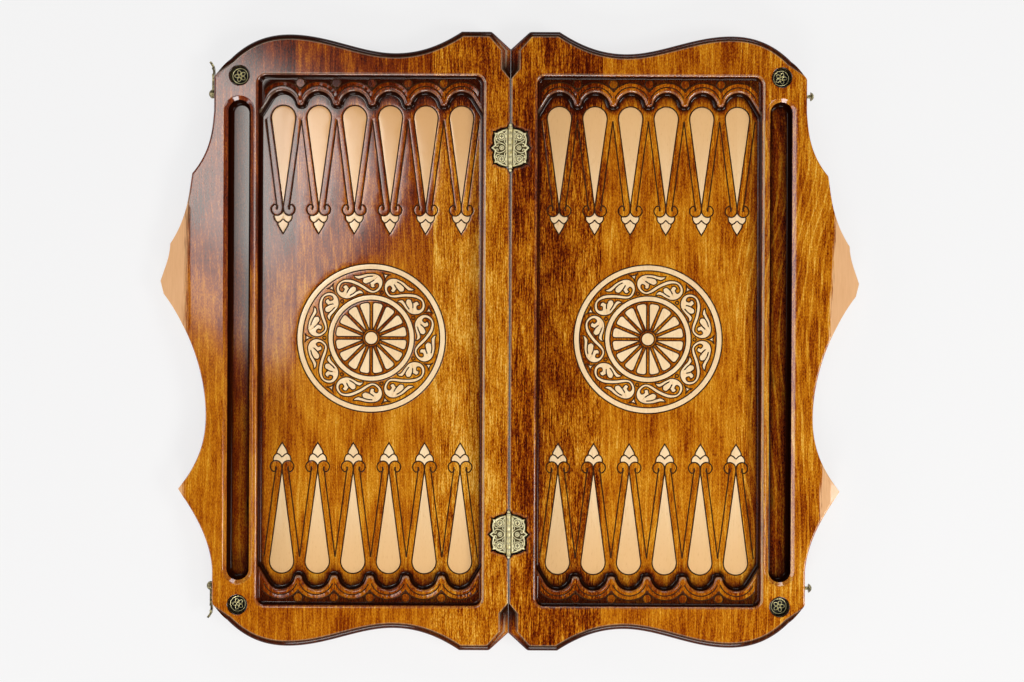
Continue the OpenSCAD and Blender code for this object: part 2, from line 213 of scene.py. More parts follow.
def newMaterial(name):
    # an empty material, its tree and its principled shader
    material = bpy.data.materials.new(name)
    material.use_nodes = True
    tree = material.node_tree
    return material, tree, tree.nodes["Principled BSDF"]


def setShader(shader, values):
    # constants go straight onto the shader's sockets, and wires are linked
    for name, value in values.items():
        if isinstance(value, Wire):
            value.tree.links.new(value.socket, shader.inputs[name])
        else:
            shader.inputs[name].default_value = value


def surfacePlace(tree, unit=1000.0):
    # the piece's own coordinates in millimetres
    place = addNode(tree, "ShaderNodeTexCoord", {}, {}, "Object")
    return place.scaled((unit, unit, unit))


# Stage

def makeFloor():
    half = studio["floorSize"] / 2
    mesh = bpy.data.meshes.new("studioFloor")
    corners = [(-half, -half, 0), (half, -half, 0), (half, half, 0), (-half, half, 0)]
    mesh.from_pydata(corners, [], [(0, 1, 2, 3)])
    studioFloor = bpy.data.objects.new("studioFloor", mesh)
    studioFloor.location.z = -studio["floorDrop"]
    bpy.context.scene.collection.objects.link(studioFloor)
    material, tree, shader = newMaterial("palePaper")
    mottle = surfacePlace(tree, 6.0).noise(3.0)
    tint = mottle.mixed(*studio["floorTints"])
    setShader(shader, {"Base Color": tint, "Roughness": 0.9, "Specular IOR Level": 0.0})
    rays = [addNode(tree, "ShaderNodeLightPath", {}, {}, kind)
            for kind in ("Is Camera Ray", "Is Glossy Ray", "Is Transmission Ray")]
    seen = mottle.math("MINIMUM", rays[0] + rays[1] + rays[2], 1.0) * studio["floorGlow"]
    glow = addNode(tree, "ShaderNodeEmission", {}, {"Color": studio["floorTone"]})
    surface = addNode(tree, "ShaderNodeMixShader", {}, {0: seen, 1: Wire(shader.outputs[0]), 2: glow})
    tree.links.new(surface.socket, tree.nodes["Material Output"].inputs["Surface"])
    mesh.materials.append(material)


def makeWorld():
    world = bpy.data.worlds.new("paleRoom")
    world.use_nodes = True
    bpy.context.scene.world = world
    tree = world.node_tree
    heading = addNode(tree, "ShaderNodeTexCoord", {}, {}, "Generated")
    tree.links.new(heading.axis(2).ramp(roomStops).socket, tree.nodes["Background"].inputs["Color"])


makeCamera()
makeFloor()
makeWorld()
for softBox in softBoxes:
    makeSoftBox(*softBox)
print("studio:", len(softBoxes), "soft boxes")


# Lines in plan, all in millimetres, for the right half. The left half is its mirror image

def bezier(a, b, c, d, steps):
    # points after a
    points = []
    for i in range(1, steps + 1):
        t = i / steps
        s = 1 - t
        w = (s * s * s, 3 * s * s * t, 3 * s * t * t, t * t * t)
        points.append(tuple(w[0] * a[k] + w[1] * b[k] + w[2] * c[k] + w[3] * d[k] for k in (0, 1)))
    return points


def swing(a, b, leave, arrive, step=2.0):
    # a curve after a that leaves and arrives by these shares of the way to b
    way = (b[0] - a[0], b[1] - a[1])
    c = (a[0] + leave[0] * way[0], a[1] + leave[1] * way[1])
    d = (b[0] - arrive[0] * way[0], b[1] - arrive[1] * way[1])
    return bezier(a, c, d, b, max(4, ceil(hypot(*way) / step)))


def arc(cx, cy, r, start, end, step=1.0):
    # an arc from one angle to another, in degrees
    count = max(3, ceil(abs(radians(end - start)) * max(r, 0.01) / step))
    turns = [radians(start + (end - start) * i / count) for i in range(count + 1)]
    return [(cx + r * cos(t), cy + r * sin(t)) for t in turns]


def ring(cx, cy, r, step=1.0):
    return arc(cx, cy, r, 0, 360, step)


def smooth(points, step=0.8):
    # a soft line through all the points
    line = [points[0]]
    last = len(points) - 1
    for i in range(last):
        a, b = points[i], points[i + 1]
        before = points[max(i - 1, 0)]
        after = points[min(i + 2, last)]
        leave = ((b[0] - before[0]) / 6, (b[1] - before[1]) / 6)
        arrive = ((after[0] - a[0]) / 6, (after[1] - a[1]) / 6)
        c = (a[0] + leave[0], a[1] + leave[1])
        d = (b[0] - arrive[0], b[1] - arrive[1])
        line += bezier(a, c, d, b, max(2, ceil(hypot(b[0] - a[0], b[1] - a[1]) / step)))
    return line


def flipX(path):
    return [(-x, y) for x, y in reversed(path)]


def flipY(path):
    return [(x, -y) for x, y in reversed(path)]


def turnedBy(path, turn):
    return [(x * cos(turn) - y * sin(turn), x * sin(turn) + y * cos(turn)) for x, y in path]


def closed(path):
    return path if path[0] == path[-1] else path + [path[0]]


def clamped(value):
    return min(max(value, 0.0), 1.0)


class NearLines:
    # how far a point lies from a set of lines, out to a reach
    def __init__(self, paths, reach):
        self.reach = reach
        self.cell = max(3.0, reach)
        self.cells = {}
        for path in paths:
            for a, b in zip(path, path[1:]):
                self.addSegment(a, b)

    def addSegment(self, a, b):
        dx, dy = b[0] - a[0], b[1] - a[1]
        size = dx * dx + dy * dy
        if size == 0:
            return
        low = [floor((min(a[k], b[k]) - self.reach) / self.cell) for k in (0, 1)]
        high = [floor((max(a[k], b[k]) + self.reach) / self.cell) for k in (0, 1)]
        for i in range(low[0], high[0] + 1):
            for j in range(low[1], high[1] + 1):
                self.cells.setdefault((i, j), []).append((a[0], a[1], dx, dy, size))

    def distance(self, x, y):
        best = self.reach * self.reach
        for ax, ay, dx, dy, size in self.cells.get((floor(x / self.cell), floor(y / self.cell)), ()):
            t = ((x - ax) * dx + (y - ay) * dy) / size
            t = min(max(t, 0.0), 1.0)
            gx = x - ax - t * dx
            gy = y - ay - t * dy
            best = min(best, gx * gx + gy * gy)
        return sqrt(best)


def beside(path, d, shrink=None):
    # the line at a distance d to the right of a path, with mitred corners; shrink takes from d at a place
    points = []
    last = len(path) - 1
    for i, (x, y) in enumerate(path):
        a = path[max(i - 1, 0)]
        b = path[min(i + 1, last)]
        first = Vector((x - a[0], y - a[1])) if i > 0 else Vector((b[0] - x, b[1] - y))
        second = Vector((b[0] - x, b[1] - y)) if i < last else first.copy()
        away = d - shrink(x) if shrink else d
        if first.length == 0 or second.length == 0 or shrink and away <= 0:
            continue
        first.normalize()
        second.normalize()
        normal = Vector((first.y + second.y, -first.x - second.x))
        if normal.length < 0.2:
            continue
        normal.normalize()
        lean = max(0.35, normal.dot(Vector((second.y, -second.x))))
        points.append((x + normal.x * away / lean, y + normal.y * away / lean))
    return points


def clearBeside(path, d, lines):
    # as beside, without the points that a corner cuts off
    return [p for p in beside(path, d) if lines.distance(*p) > abs(d) - 0.02]


# Outline of a half

board = {
    "rim": 30.0,
    "foldHeight": 30.2,
    "edge": 0.08,                # from the hinge line to a half's inner side
    "side": 286.9,
    "notch": 283.0,
    "notchReach": 12.0,
    "post": (18.6, 47.5, 300.0),
    "postRound": 3.2,
    "valley": (112.0, 278.8),
    "crest": (214.0, 296.5),
    "ear": 254.0,
    "latchFlat": 222.0,
    "step": (307.8, 161.0),
    "knee": (329.5, 93.0),
    "tip": (339.3, 57.0),
    "tipUnder": (336.0, 44.5),
    "waist": (293.8, -74.0),
    "spur": (320.3, -144.5),
    "gripStart": 310.9,
    "gripSlope": 16.0,
    "mouldingWidth": 5.5,
    "mouldingStep": 0.9,
    "mouldingDepth": 6.0,
    "mouldingRise": 0.12,        # how far the moulding's step leans
    "runOut": (263.0, 0.55, 0.65),   # where it narrows, how fast, and its share beside the hinge line
    "earRun": 14.0,              # over this way it narrows to nothing at the ear
    "sideRound": 1.6,
    "hingeRound": 1.1,
    "footRound": 2.2,
}


def endLine():
    b = board
    near, far, top = b["post"]
    ear = (b["side"], b["ear"])
    slant = Vector((near - b["edge"], top - b["notch"])).normalized() * b["postRound"]
    turnIn = (near - slant.x, top - slant.y)
    path = [(b["edge"], b["ear"]), (b["edge"], b["notch"]), turnIn]
    path += bezier(turnIn, (near, top), (near, top), (near + b["postRound"], top), 5) + [(far, top)]
    path += swing((far, top), b["valley"], (0.29, 0.57), (0.4, 0))
    path += swing(b["valley"], b["crest"], (0.33, 0), (0.37, 0))
    path += swing(b["crest"], ear, (0.45, 0), (0.25, 0.62))
    return path


def sideLine():
    b = board
    flatTop = (b["side"], b["latchFlat"])
    flatFoot = (b["side"], -b["latchFlat"])
    path = [(b["side"], b["ear"]), flatTop]
    path += swing(flatTop, b["step"], (0.07, 0.28), (0.885, 0.36))
    path += swing(b["step"], b["knee"], (0.17, 0.34), (0.81, 0.37))
    path += swing(b["knee"], b["tip"], (0.05, 0.36), (0.54, 0.42))
    path += [b["tipUnder"]]
    path += swing(b["tipUnder"], b["waist"], (0.57, 0.25), (0, 0.37))
    path += swing(b["waist"], b["spur"], (0, 0.41), (0.615, 0.29))
    path += swing(b["spur"], flatFoot, (0.43, 0.265), (0.06, 0.39))
    return path + [(b["side"], -b["ear"])]


upperEnd = endLine()
lowerEnd = flipY(upperEnd)
side = sideLine()
outline = upperEnd + side[1:] + lowerEnd[1:] + [upperEnd[0]]

endLines = NearLines([upperEnd, lowerEnd], 12.0)
sideLines = NearLines([side], 12.0)
edgeLines = NearLines([outline], 12.0)


# What is routed into a half, as signed distances: negative inside

recess = {"inner": 26.6, "outer": 243.4, "half": 255.9, "corner": 7.5,
          "lip": 2.8, "draft": 0.6, "foot": 1.6,
          "wall": 2.0,                 # how far in the stain on its wall reaches
          "endRun": 3.0}               # how near an end the end's own wall counts
ledge = {"height": 24.0, "start": 228.0, "lip": 2.6, "draft": 0.5, "foot": 2.0, "wall": 2.4}
field = {"height": 14.0}
pocket = {"first": 47.7, "pitch": 34.75, "count": 6, "radius": 13.8,
          "cusp": 3.4,                 # round of the cusps between pockets
          "endTurn": radians(31.4)}    # the first and last pocket run out to the wall on a tangent here
trough = {"middle": 262.4, "radius": 12.4, "straight": 221.6, "floor": 12.0,
          "lip": 2.6, "bevel": 1.6, "edge": -1.6, "slope": radians(38), "wall": 0.4, "foot": 3.0}
buttonHole = {"place": (262.4, 256.0), "radius": 9.3, "floor": 22.0,
              "lip": 0.8, "draft": 0.15, "foot": 0.15}
mortise = {"middle": 187.0, "floor": 28.1, "lip": 0.35, "draft": 0.12, "foot": 0.05,
           "gap": 1.3,                  # round the leaf
           "reach": (26.0, 30.0),       # past its edge
           "mouth": 3.1, "apex": 24.95, "mouthHalf": 20.3,
           "groove": 2.5, "grooveHalf": 21.6}
leafPlan = {"length": 37.2, "corner": 15.8, "point": 18.7}

columns = [pocket["first"] + pocket["pitch"] * i for i in range(pocket["count"])]


def leafEdge(g):
    # a leaf's edge from the barrel's upper end round to its lower end, grown by g
    length, corner = leafPlan["length"], leafPlan["corner"]
    top = (0, length / 2 + g)
    neck = (0.84 * corner + g, 0.385 * length + g)
    waist = (0.945 * corner + g, 0.345 * length + g)
    upper = [top] + bezier(top, (0.32 * corner, 0.49 * length + g),
                           (0.62 * corner + g, 0.475 * length + g), neck, 12)
    upper += [(corner + g, 0.402 * length + g), waist]
    upper += bezier(waist, (1.05 * corner + g, 0.27 * length), (1.05 * corner + g, 0.16 * length),
                    (0.955 * corner + g, 0.09 * length + g), 12)
    return upper + [(leafPlan["point"] + g, 0)] + flipY(upper)


def mortiseEdge():
    # the leaf's edge, widened to a point past each end of the barrel
    edge = leafEdge(mortise["gap"])
    upper = [p for p in edge if p[1] > 0]
    crossing = next(i for i, p in enumerate(upper) if p[0] > mortise["mouth"])
    path = [(0.0, mortise["apex"]), (mortise["mouth"], mortise["mouthHalf"])] + upper[crossing:]
    return path + [(leafPlan["point"] + mortise["gap"], 0)] + flipY(path)


mortiseLoop = closed(mortiseEdge())
mortiseLines = NearLines([mortiseLoop], 3.0)


def insideLoop(x, y, loop):
    inside = False
    for (ax, ay), (bx, by) in zip(loop, loop[1:]):
        if (ay > y) != (by > y) and x < ax + (y - ay) * (bx - ax) / (by - ay):
            inside = not inside
    return inside


def fromRecess(x, y):
    r = recess["corner"]
    middle = (recess["inner"] + recess["outer"]) / 2
    qx = abs(x - middle) - (recess["outer"] - recess["inner"]) / 2 + r
    qy = abs(y) - recess["half"] + r
    return hypot(max(qx, 0), max(qy, 0)) + min(max(qx, qy), 0) - r


def cuspReach():
    # from a pocket's middle to that of the round beside it
    return sqrt((pocket["radius"] + pocket["cusp"]) ** 2 - pocket["cusp"] ** 2)


def fromField(x, y):
    # the field's edge has a pocket at each point, soft cusps between them and slanting ends
    column = min(columns, key=lambda c: abs(c - x))
    u, v = abs(x - column), abs(y) - ledge["start"]
    r, c = pocket["radius"], pocket["cusp"]
    if x < columns[0] or x > columns[-1]:
        across, down = cos(pocket["endTurn"]), sin(pocket["endTurn"])
        return hypot(u, v) - r if v * across > u * down else u * across + v * down - r
    reach = cuspReach()
    du, dv = u - reach, v - c
    if du <= 0 and c * du >= reach * dv:
        return c - hypot(du, dv)
    return min(v, hypot(u, v) - r)


def fromTrough(x, y):
    return hypot(x - trough["middle"], max(abs(y) - trough["straight"], 0)) - trough["radius"]


def fromButtonHole(x, y):
    return hypot(x - buttonHole["place"][0], abs(y) - buttonHole["place"][1]) - buttonHole["radius"]


def fromMortise(x, y):
    v = abs(y) - mortise["middle"]
    if x > mortise["reach"][0] or abs(v) > mortise["reach"][1]:
        return mortiseLines.reach
    d = mortiseLines.distance(x, v)
    return -d if insideLoop(x, v, mortiseLoop) else d


def dip(s, top, floorHeight, cut):
    # height over a routed hollow: a round lip, a wall with a little draft and a round foot
    lip, draft, foot = cut["lip"], cut["draft"], cut["foot"]
    if s >= lip:
        return top
    if s >= 0:
        return top - lip + sqrt(max(lip * lip - (lip - s) ** 2, 0))
    if s > -draft:
        return top - lip + (s / draft) * (top - lip - floorHeight - foot)
    e = -s - draft
    if e < foot:
        return floorHeight + foot - sqrt(max(foot * foot - (foot - e) ** 2, 0))
    return floorHeight


ringGap = 0.35       # from a hollow's edge to the next ring of points


def dipLevels(cut, steps=4):
    # distances at which rings of points follow the lip and the foot of a hollow
    turns = [radians(90 * i / steps) for i in range(steps + 1)]
    lip = [cut["lip"] * (1 - cos(t)) for t in turns]
    foot = [-cut["draft"] - cut["foot"] * (1 - cos(t)) for t in turns]
    return [cut["lip"] + ringGap] + lip + foot + [foot[-1] - ringGap]


def roundLevels(r, steps=4):
    return [r * (1 - cos(radians(90 * i / steps))) for i in range(1, steps + 1)] + [r + ringGap]


def roundDrop(d, r):
    return r - sqrt(max(r * r - (r - d) ** 2, 0)) if d < r else 0.0


def earTaper(x):
    # how much the moulding has narrowed on its way to the ear
    start = board["side"] - board["earRun"]
    return max(0.0, x - start) * (board["mouldingWidth"] + 1.5) / board["earRun"]


def fromEnd(x, y):
    # distance from an end's outline, growing where the moulding runs out
    start, taper, share = board["runOut"]
    d = endLines.distance(x, y) + earTaper(x)
    if x > board["notchReach"] or abs(y) > board["notch"]:
        return d
    return min(d, (x - board["edge"]) * share) + max(0.0, start - abs(y)) * taper


def mouldingDrop(d):
    # a short upright step, then a round falling to the outline
    width, stepRun = board["mouldingWidth"], board["mouldingRise"]
    if d >= width:
        return 0.0
    if d > width - stepRun:
        return board["mouldingStep"] * (width - d) / stepRun
    t = asin(min(1.0, 1 - d / (width - stepRun)))
    return board["mouldingStep"] + (board["mouldingDepth"] - board["mouldingStep"]) * (1 - cos(t))


def mouldingLevels(steps=6):
    full = board["mouldingWidth"]
    turns = [radians(90 * i / steps) for i in range(steps)]
    rounded = [(full - board["mouldingRise"]) * (1 - sin(t)) for t in turns]
    return [full + 1.4, full + 0.9, full + ringGap, full] + rounded


def troughHeight(s):
    # a small round, a broad bevel, a steep wall and a round foot
    g, rim = trough, board["rim"]
    if s >= g["lip"]:
        return rim
    r = (g["lip"] - g["bevel"]) / sin(g["slope"])
    if s > g["bevel"]:
        return rim - r + sqrt(r * r - (g["lip"] - s) ** 2)
    top = rim - r * (1 - cos(g["slope"]))
    if s > g["edge"]:
        return top - (g["bevel"] - s) * tan(g["slope"])
    top -= (g["bevel"] - g["edge"]) * tan(g["slope"])
    e = g["edge"] - s
    foot = g["floor"] + g["foot"]
    if e < g["wall"]:
        return top - (top - foot) * e / g["wall"]
    e -= g["wall"]
    return foot - sqrt(max(g["foot"] ** 2 - (g["foot"] - e) ** 2, 0)) if e < g["foot"] else g["floor"]


def troughLevels():
    g = trough
    foot = [g["edge"] - g["wall"] - g["foot"] * (1 - cos(radians(a))) for a in (0, 22, 45, 68, 90)]
    lip = [g["bevel"] + (g["lip"] - g["bevel"]) * k / 4 for k in range(5)]
    return [g["lip"] + 0.4] + lip + [0.5, -0.6, g["edge"] + 0.2, g["edge"]] + foot + [foot[-1] - 0.5]


def floorHeight(x, y):
    return dip(fromField(x, y), ledge["height"] - archDrop(x, y), field["height"], ledge)


def plainHeight(x, y):
    # the upper face before it is engraved
    rim = board["rim"]
    z = dip(fromRecess(x, y), rim, floorHeight(x, y), recess)
    z = min(z, rim - mouldingDrop(fromEnd(x, y)))
    z = min(z, rim - roundDrop(sideLines.distance(x, y), board["sideRound"]))
    if abs(y) < board["ear"]:
        z = min(z, rim - roundDrop(x - board["edge"], board["hingeRound"]))
    z = min(z, troughHeight(fromTrough(x, y)))
    z = min(z, dip(fromButtonHole(x, y), rim, buttonHole["floor"], buttonHole))
    z = min(z, dip(fromMortise(x, y), rim, mortise["floor"], mortise))
    if x < mortise["groove"] and abs(abs(y) - mortise["middle"]) < mortise["grooveHalf"]:
        z = min(z, board["foldHeight"] - sqrt(mortise["groove"] ** 2 - x * x))
    if x > board["gripStart"]:
        z = min(z, rim - (x - board["gripStart"]) * tan(radians(board["gripSlope"])))
    return z


# Engraved figures: the points with their tips, the medallion and the arcade on the ledges

cutter = {"half": 0.64, "depth": 0.85, "fineHalf": 0.6, "fineDepth": 0.75,
          "shoulder": 1.9, "shoulderDrop": 0.16}

pointFigure = {"round": 11.9, "bandHalf": 17.35, "bandFoot": (6.6, 5.8),
               "voluteSide": 5.95, "voluteRadius": 5.6, "hookTurns": (66, -180), "underTurns": (-157, -62),
               "eye": (6.1, 0.8), "eyeRadius": 0.35, "curl": [(-0.5, 2.6), (0.1, 4.2)],
               "tail": 1.8, "lobeMiddle": 2.4}
pointRows = {
    # where the head's round, the tip, the volutes and the bands' meeting lie in the upper and the lower row
    1: {"round": 217.3, "tip": 129.8, "volute": 127.3, "bandTop": 215.0},
    -1: {"round": 215.6, "tip": 125.5, "volute": 123.2, "bandTop": 211.5},
}
lobeSide = [(8.5, 5.5), (8.6, 7.6), (7.6, 10.4), (5.4, 12.5), (3.2, 11.9), (1.4, 10.4), (0, 8.9)]
petalSide = [(4.9, 12.7), (5.1, 14.1), (3.9, 16.9), (0, 23.4)]

arcade = {"vee": 242.0, "crown": 251.0, "inner": 4.2, "innerTurns": (22, 158),
          "bevel": 0.6, "ground": 0.9, "groundRun": 0.5,
          "ballRadius": 4.4, "ballAt": 249.6, "dish": 0.5}

medallion = {"centre": (135.0, 2.4), "outer": (66.8, 72.5), "inner": (37.0, 42.2),
             "spokes": 16, "spokeHalf": 1.35, "petal": (8.6, 34.9, 2.6), "hub": 6.3, "hubRing": 8.4,
             "units": 7, "scrollRadius": 53.4, "beads": (45.6, 1.6)}
star = {"radius": 62.3, "tips": [(-4.2, 2.4), (4.2, 2.4), (0, -5.4)], "hollow": 0.18}
scrollSides = (1, -1, 1, -1, -1, 1, -1)      # which way each scroll leans, from the first unit on

scrollBand = [(0, 2.2), (-3.4, -0.6), (-8.5, -4.7), (-12.5, -6.8), (-15.3, -6.8), (-18.5, -4.3),
              (-19.3, -1.7), (-17.8, 0.4), (-15.2, -1.1), (-15.9, -3.4)]
scrollLobes = [
    [(-15.9, -3.4), (-13.4, -4.4), (-11.2, -3.4), (-10.5, -0.1), (-8.8, 0.1)],
    [(-8.8, 0.1), (-6.3, -0.4), (-3.9, 1.4), (-3.8, 3.5), (-5.2, 5.7)],
    [(-5.2, 5.7), (-3.0, 5.4), (-0.5, 5.3), (2.2, 7.7), (2.7, 10.2)],
    [(2.7, 10.2), (-0.3, 9.0), (-3.5, 8.9), (-8.5, 9.6), (-14.8, 9.6)],
]
scrollBack = {"centre": (-13.4, 0), "radius": 9.6, "turns": (98, 285), "out": [(-6.2, -7.2), (0, -2.2)]}
scrollVeins = [[(-8.8, 0.1), (-11.6, 1.3), (-14.5, 3.4)], [(-5.2, 5.7), (-9.2, 6.7), (-13.1, 6.9)]]


class Engraving:
    # lines to cut, and the pale figures that they bound
    def __init__(self):
        self.wide = []
        self.fine = []
        self.pale = []

    def figure(self, loop, holes=()):
        self.pale.append((closed(loop), [closed(h) for h in holes]))


def engravePoint(e, column, row):
    f, r = pointFigure, pointRows[row]

    def at(path):
        return [(column + u, row * v) for u, v in path]

    lean = asin(f["round"] / (r["round"] - r["tip"])) * 180 / pi
    tip = (0, r["tip"])
    drop = [tip] + arc(0, r["round"], f["round"], -lean, 180 + lean) + [tip]
    e.wide.append(at(drop))
    e.figure(at(drop))
    cx, cy = f["voluteSide"], r["volute"]
    e.wide.append(at([tip, (0, cy - f["tail"])]))
    eye = (f["eye"][0], cy + f["eye"][1])
    band = [(f["bandHalf"], r["bandTop"]), (f["bandFoot"][0], cy + f["bandFoot"][1]), eye]
    hook = arc(cx, cy, f["voluteRadius"], *f["hookTurns"])
    curl = smooth([(eye[0] + u, cy + v) for u, v in f["curl"]] + hook[:1])[:-1] + hook
    for line in (band, curl, ring(*eye, f["eyeRadius"], 0.5)):
        e.wide += [at(line), at(flipX(line))]
    lobe = [(u, cy - w) for u, w in smooth(lobeSide[:4], 0.9) + smooth(lobeSide[3:], 0.9)[1:]]
    under = arc(cx, cy, f["voluteRadius"], *f["underTurns"])
    lobes = [(0, cy - f["lobeMiddle"])] + under + lobe
    e.wide += [at([under[-1]] + lobe), at(flipX([under[-1]] + lobe))]
    e.figure(at(lobes + flipX(lobes)))
    leaf = [(u, cy - w) for u, w in smooth(petalSide, 0.9)]
    crown = [(u, cy - w) for u, w in reversed(lobeSide[-3:])]
    e.wide.append(at(leaf + flipX(leaf)[1:]))
    e.figure(at(crown + leaf + flipX(leaf) + flipX(crown)))


def archShape():
    # the height of an arch's middle, and its radius
    reach = pocket["pitch"] / 2
    rise = arcade["crown"] - arcade["vee"]
    r = (reach * reach + rise * rise) / (2 * rise)
    return arcade["crown"] - r, r


def fromArch(x, y):
    # how far inside the nearest arch's line a place lies
    middle, r = archShape()
    column = min(columns, key=lambda c: abs(c - x))
    return r - hypot(x - column, abs(y) - middle)


def fromBall(x, y):
    # distance to the middle of the nearest ball, which lies between two arches
    place = round((x - columns[0]) / pocket["pitch"] - 0.5)
    place = min(max(place, 0), pocket["count"] - 2)
    return hypot(x - columns[place] - pocket["pitch"] / 2, abs(y) - arcade["ballAt"])


def archDrop(x, y):
    # the ground lies below the arches, whose bands fall inwards, and the balls between them are dished
    a = arcade
    t, d = fromArch(x, y), fromBall(x, y)
    if d < a["ballRadius"]:
        return a["dish"] * (1 - (d / a["ballRadius"]) ** 2)
    if t < a["inner"]:
        return a["bevel"] * t / a["inner"] if t > 0 else a["ground"] * min(1.0, -t / a["groundRun"])
    return 0.0


def engraveArcade(e, row):
    middle, r = archShape()
    reach = pocket["pitch"] / 2
    spread = asin(reach / r) * 180 / pi
    for i, column in enumerate(columns):
        outer = arc(column, middle, r, 90 - spread, 90 + spread)
        inner = arc(column, middle, r - arcade["inner"], *arcade["innerTurns"])
        e.fine += [[(x, row * y) for x, y in path] for path in (outer, inner)]
        if i:
            ball = ring(column - reach, arcade["ballAt"], arcade["ballRadius"])
            e.fine.append([(x, row * y) for x, y in ball])


def petalLoop(turn):
    # a petal between two spokes, with straight sides beside them and round outer corners
    start, end, corner = medallion["petal"]
    gap = medallion["spokeHalf"]
    half = pi / medallion["spokes"]
    cornerTurn = half - asin((gap + corner) / (end - corner))
    foot = half - asin(gap / start)
    cx, cy = (end - corner) * cos(cornerTurn), (end - corner) * sin(cornerTurn)
    lean = cornerTurn * 180 / pi
    upper = [(start * cos(foot), start * sin(foot))]
    upper += arc(cx, cy, corner, half * 180 / pi + 90, lean, 0.7)
    crown = arc(0, 0, end, lean, -lean)[1:-1]
    return turnedBy(upper + crown + flipY(upper), turn)


def scrollLoop():
    # one scroll in its own plane: along the ring and outwards
    b = scrollBack
    half = smooth(scrollBand)
    for lobe in scrollLobes:
        half += smooth(lobe)[1:]
    back = arc(*b["centre"], b["radius"], *b["turns"])
    half += smooth([scrollLobes[-1][-1], back[0]])[1:] + back[1:]
    half += smooth([back[-1]] + b["out"])[1:]
    return half + [(-u, -v) for u, v in half[1:]]


def engraveMedallion(e):
    m = medallion
    cx, cy = m["centre"]

    def at(path):
        return [(cx + x, cy + y) for x, y in path]

    for pair in (m["inner"], m["outer"]):
        rings = [at(ring(0, 0, r)) for r in pair]
        e.wide += rings
        e.figure(rings[1], [rings[0]])
    for k in range(m["spokes"]):
        petal = at(closed(petalLoop((k + 0.5) * 2 * pi / m["spokes"])))
        e.fine.append(petal)
        e.figure(petal)
    hub = at(ring(0, 0, m["hub"]))
    e.fine += [hub, at(ring(0, 0, m["hubRing"]))]
    e.figure(hub)
    unit = 2 * pi / m["units"]
    for k in range(m["units"]):
        turn = unit * (k + 0.5)
        lean = -scrollSides[k]

        def bent(path):
            bentPath = []
            for u, v in path:
                t = turn - u / m["scrollRadius"]
                r = m["scrollRadius"] + lean * v
                bentPath.append((r * cos(t), r * sin(t)))
            return at(bentPath)

        loop = bent(scrollLoop())
        e.fine.append(loop)
        e.figure(loop)
        for vein in scrollVeins:
            e.wide += [bent(smooth(vein)), bent(smooth([(-u, -v) for u, v in vein]))]
        edge = unit * k
        r, small = m["beads"]
        e.fine.append(at(ring(r * cos(edge), r * sin(edge), small, 0.6)))
        tipped = at(turnedBy([(star["radius"] + v, u) for u, v in starLoop()], edge))
        e.fine.append(tipped)
        e.figure(tipped)


def starLoop():
    # a small star with three points and hollow sides: two beside the ring and one inwards
    tips, hollow = star["tips"], star["hollow"]
    loop = [tips[0]]
    for a, b in zip(tips, tips[1:] + tips[:1]):
        middle = ((a[0] + b[0]) * hollow, (a[1] + b[1]) * hollow)
        loop += bezier(a, middle, middle, b, 6)
    return loop


engraving = Engraving()
for row in (1, -1):
    for column in columns:
        engravePoint(engraving, column, row)
    engraveArcade(engraving, row)
engraveMedallion(engraving)
wideLines = NearLines(engraving.wide, 2.0)
fineLines = NearLines(engraving.fine, 1.2)
lineCount = len(engraving.wide) + len(engraving.fine)
print("engraving:", lineCount, "lines,", len(engraving.pale), "pale figures")


def grooveDepth(x, y):
    d = wideLines.distance(x, y)
    deep = 1 - d / cutter["half"]
    fine = 1 - fineLines.distance(x, y) / cutter["fineHalf"]
    shoulder = max(0.0, 1 - d / cutter["shoulder"])
    cut = max(0.0, deep * cutter["depth"], fine * cutter["fineDepth"])
    return cut + cutter["shoulderDrop"] * shoulder * shoulder


def inGroove(x, y):
    return wideLines.distance(x, y) < cutter["half"] or fineLines.distance(x, y) < cutter["fineHalf"]


# Pieces of the board

rows = {"upper": 1, "lower": -1}
halves = {"left": -1, "right": 1}
sharpFrom = {"wood": 34, "metal": 40}    # degrees between faces


def makePiece(kind, node, half, places, faces, layers, sharp):
    # a mesh from points in millimetres, with values at its points, that takes its node's place
    mesh = bpy.data.meshes.new(kind + "_" + node)
    mesh.from_pydata([tuple(c * mm for c in p) for p in places], [], faces)
    for layer, values in layers.items():
        mesh.attributes.new(layer, "FLOAT", "POINT").data.foreach_set("value", values)
    net = bmesh.new()
    net.from_mesh(mesh)
    bmesh.ops.recalc_face_normals(net, faces=net.faces)
    net.to_mesh(mesh)
    net.free()
    mesh.shade_smooth()
    mesh.set_sharp_from_angle(angle=radians(sharp))
    piece = bpy.data.objects.new(kind + "_" + node, mesh)
    bpy.context.scene.collection.objects.link(piece)
    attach(piece, half + "_half")
    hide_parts(node)
    return mesh


# The carved face as one net of triangles

seams = {"left": (75.0, 208.0), "right": (89.5, 221.0)}
grid = {
    "pitch": 7.0,                        # of the loose points
    "clear": 2.0,                        # how far they keep from a line
    "reach": (345.0, 310.0),             # past the outline's far corner
    "mortise": (2.4, 2.0, 1.3, 0.9),     # lines outside a mortise's edge
    "groove": (0.9, 1.6, 2.2, 2.5),      # lines along the barrel's groove
    "grip": 200.0,                       # past the ends of the finger grip
    "shoulder": (0.65, 0.975),           # lines beside an engraved one, as shares of its shoulder
}


class Net:
    # points and lines that the triangles have to follow
    def __init__(self):
        self.points = []
        self.edges = []

    def line(self, path):
        start = len(self.points)
        self.points += [Vector(p) for p in path]
        self.edges += [(i, i + 1) for i in range(start, len(self.points) - 1)]

    def triangles(self):
        result = delaunay_2d_cdt(self.points, self.edges, [], 0, 0.003)
        return [(p.x, p.y) for p in result[0]], [tuple(f) for f in result[2]]


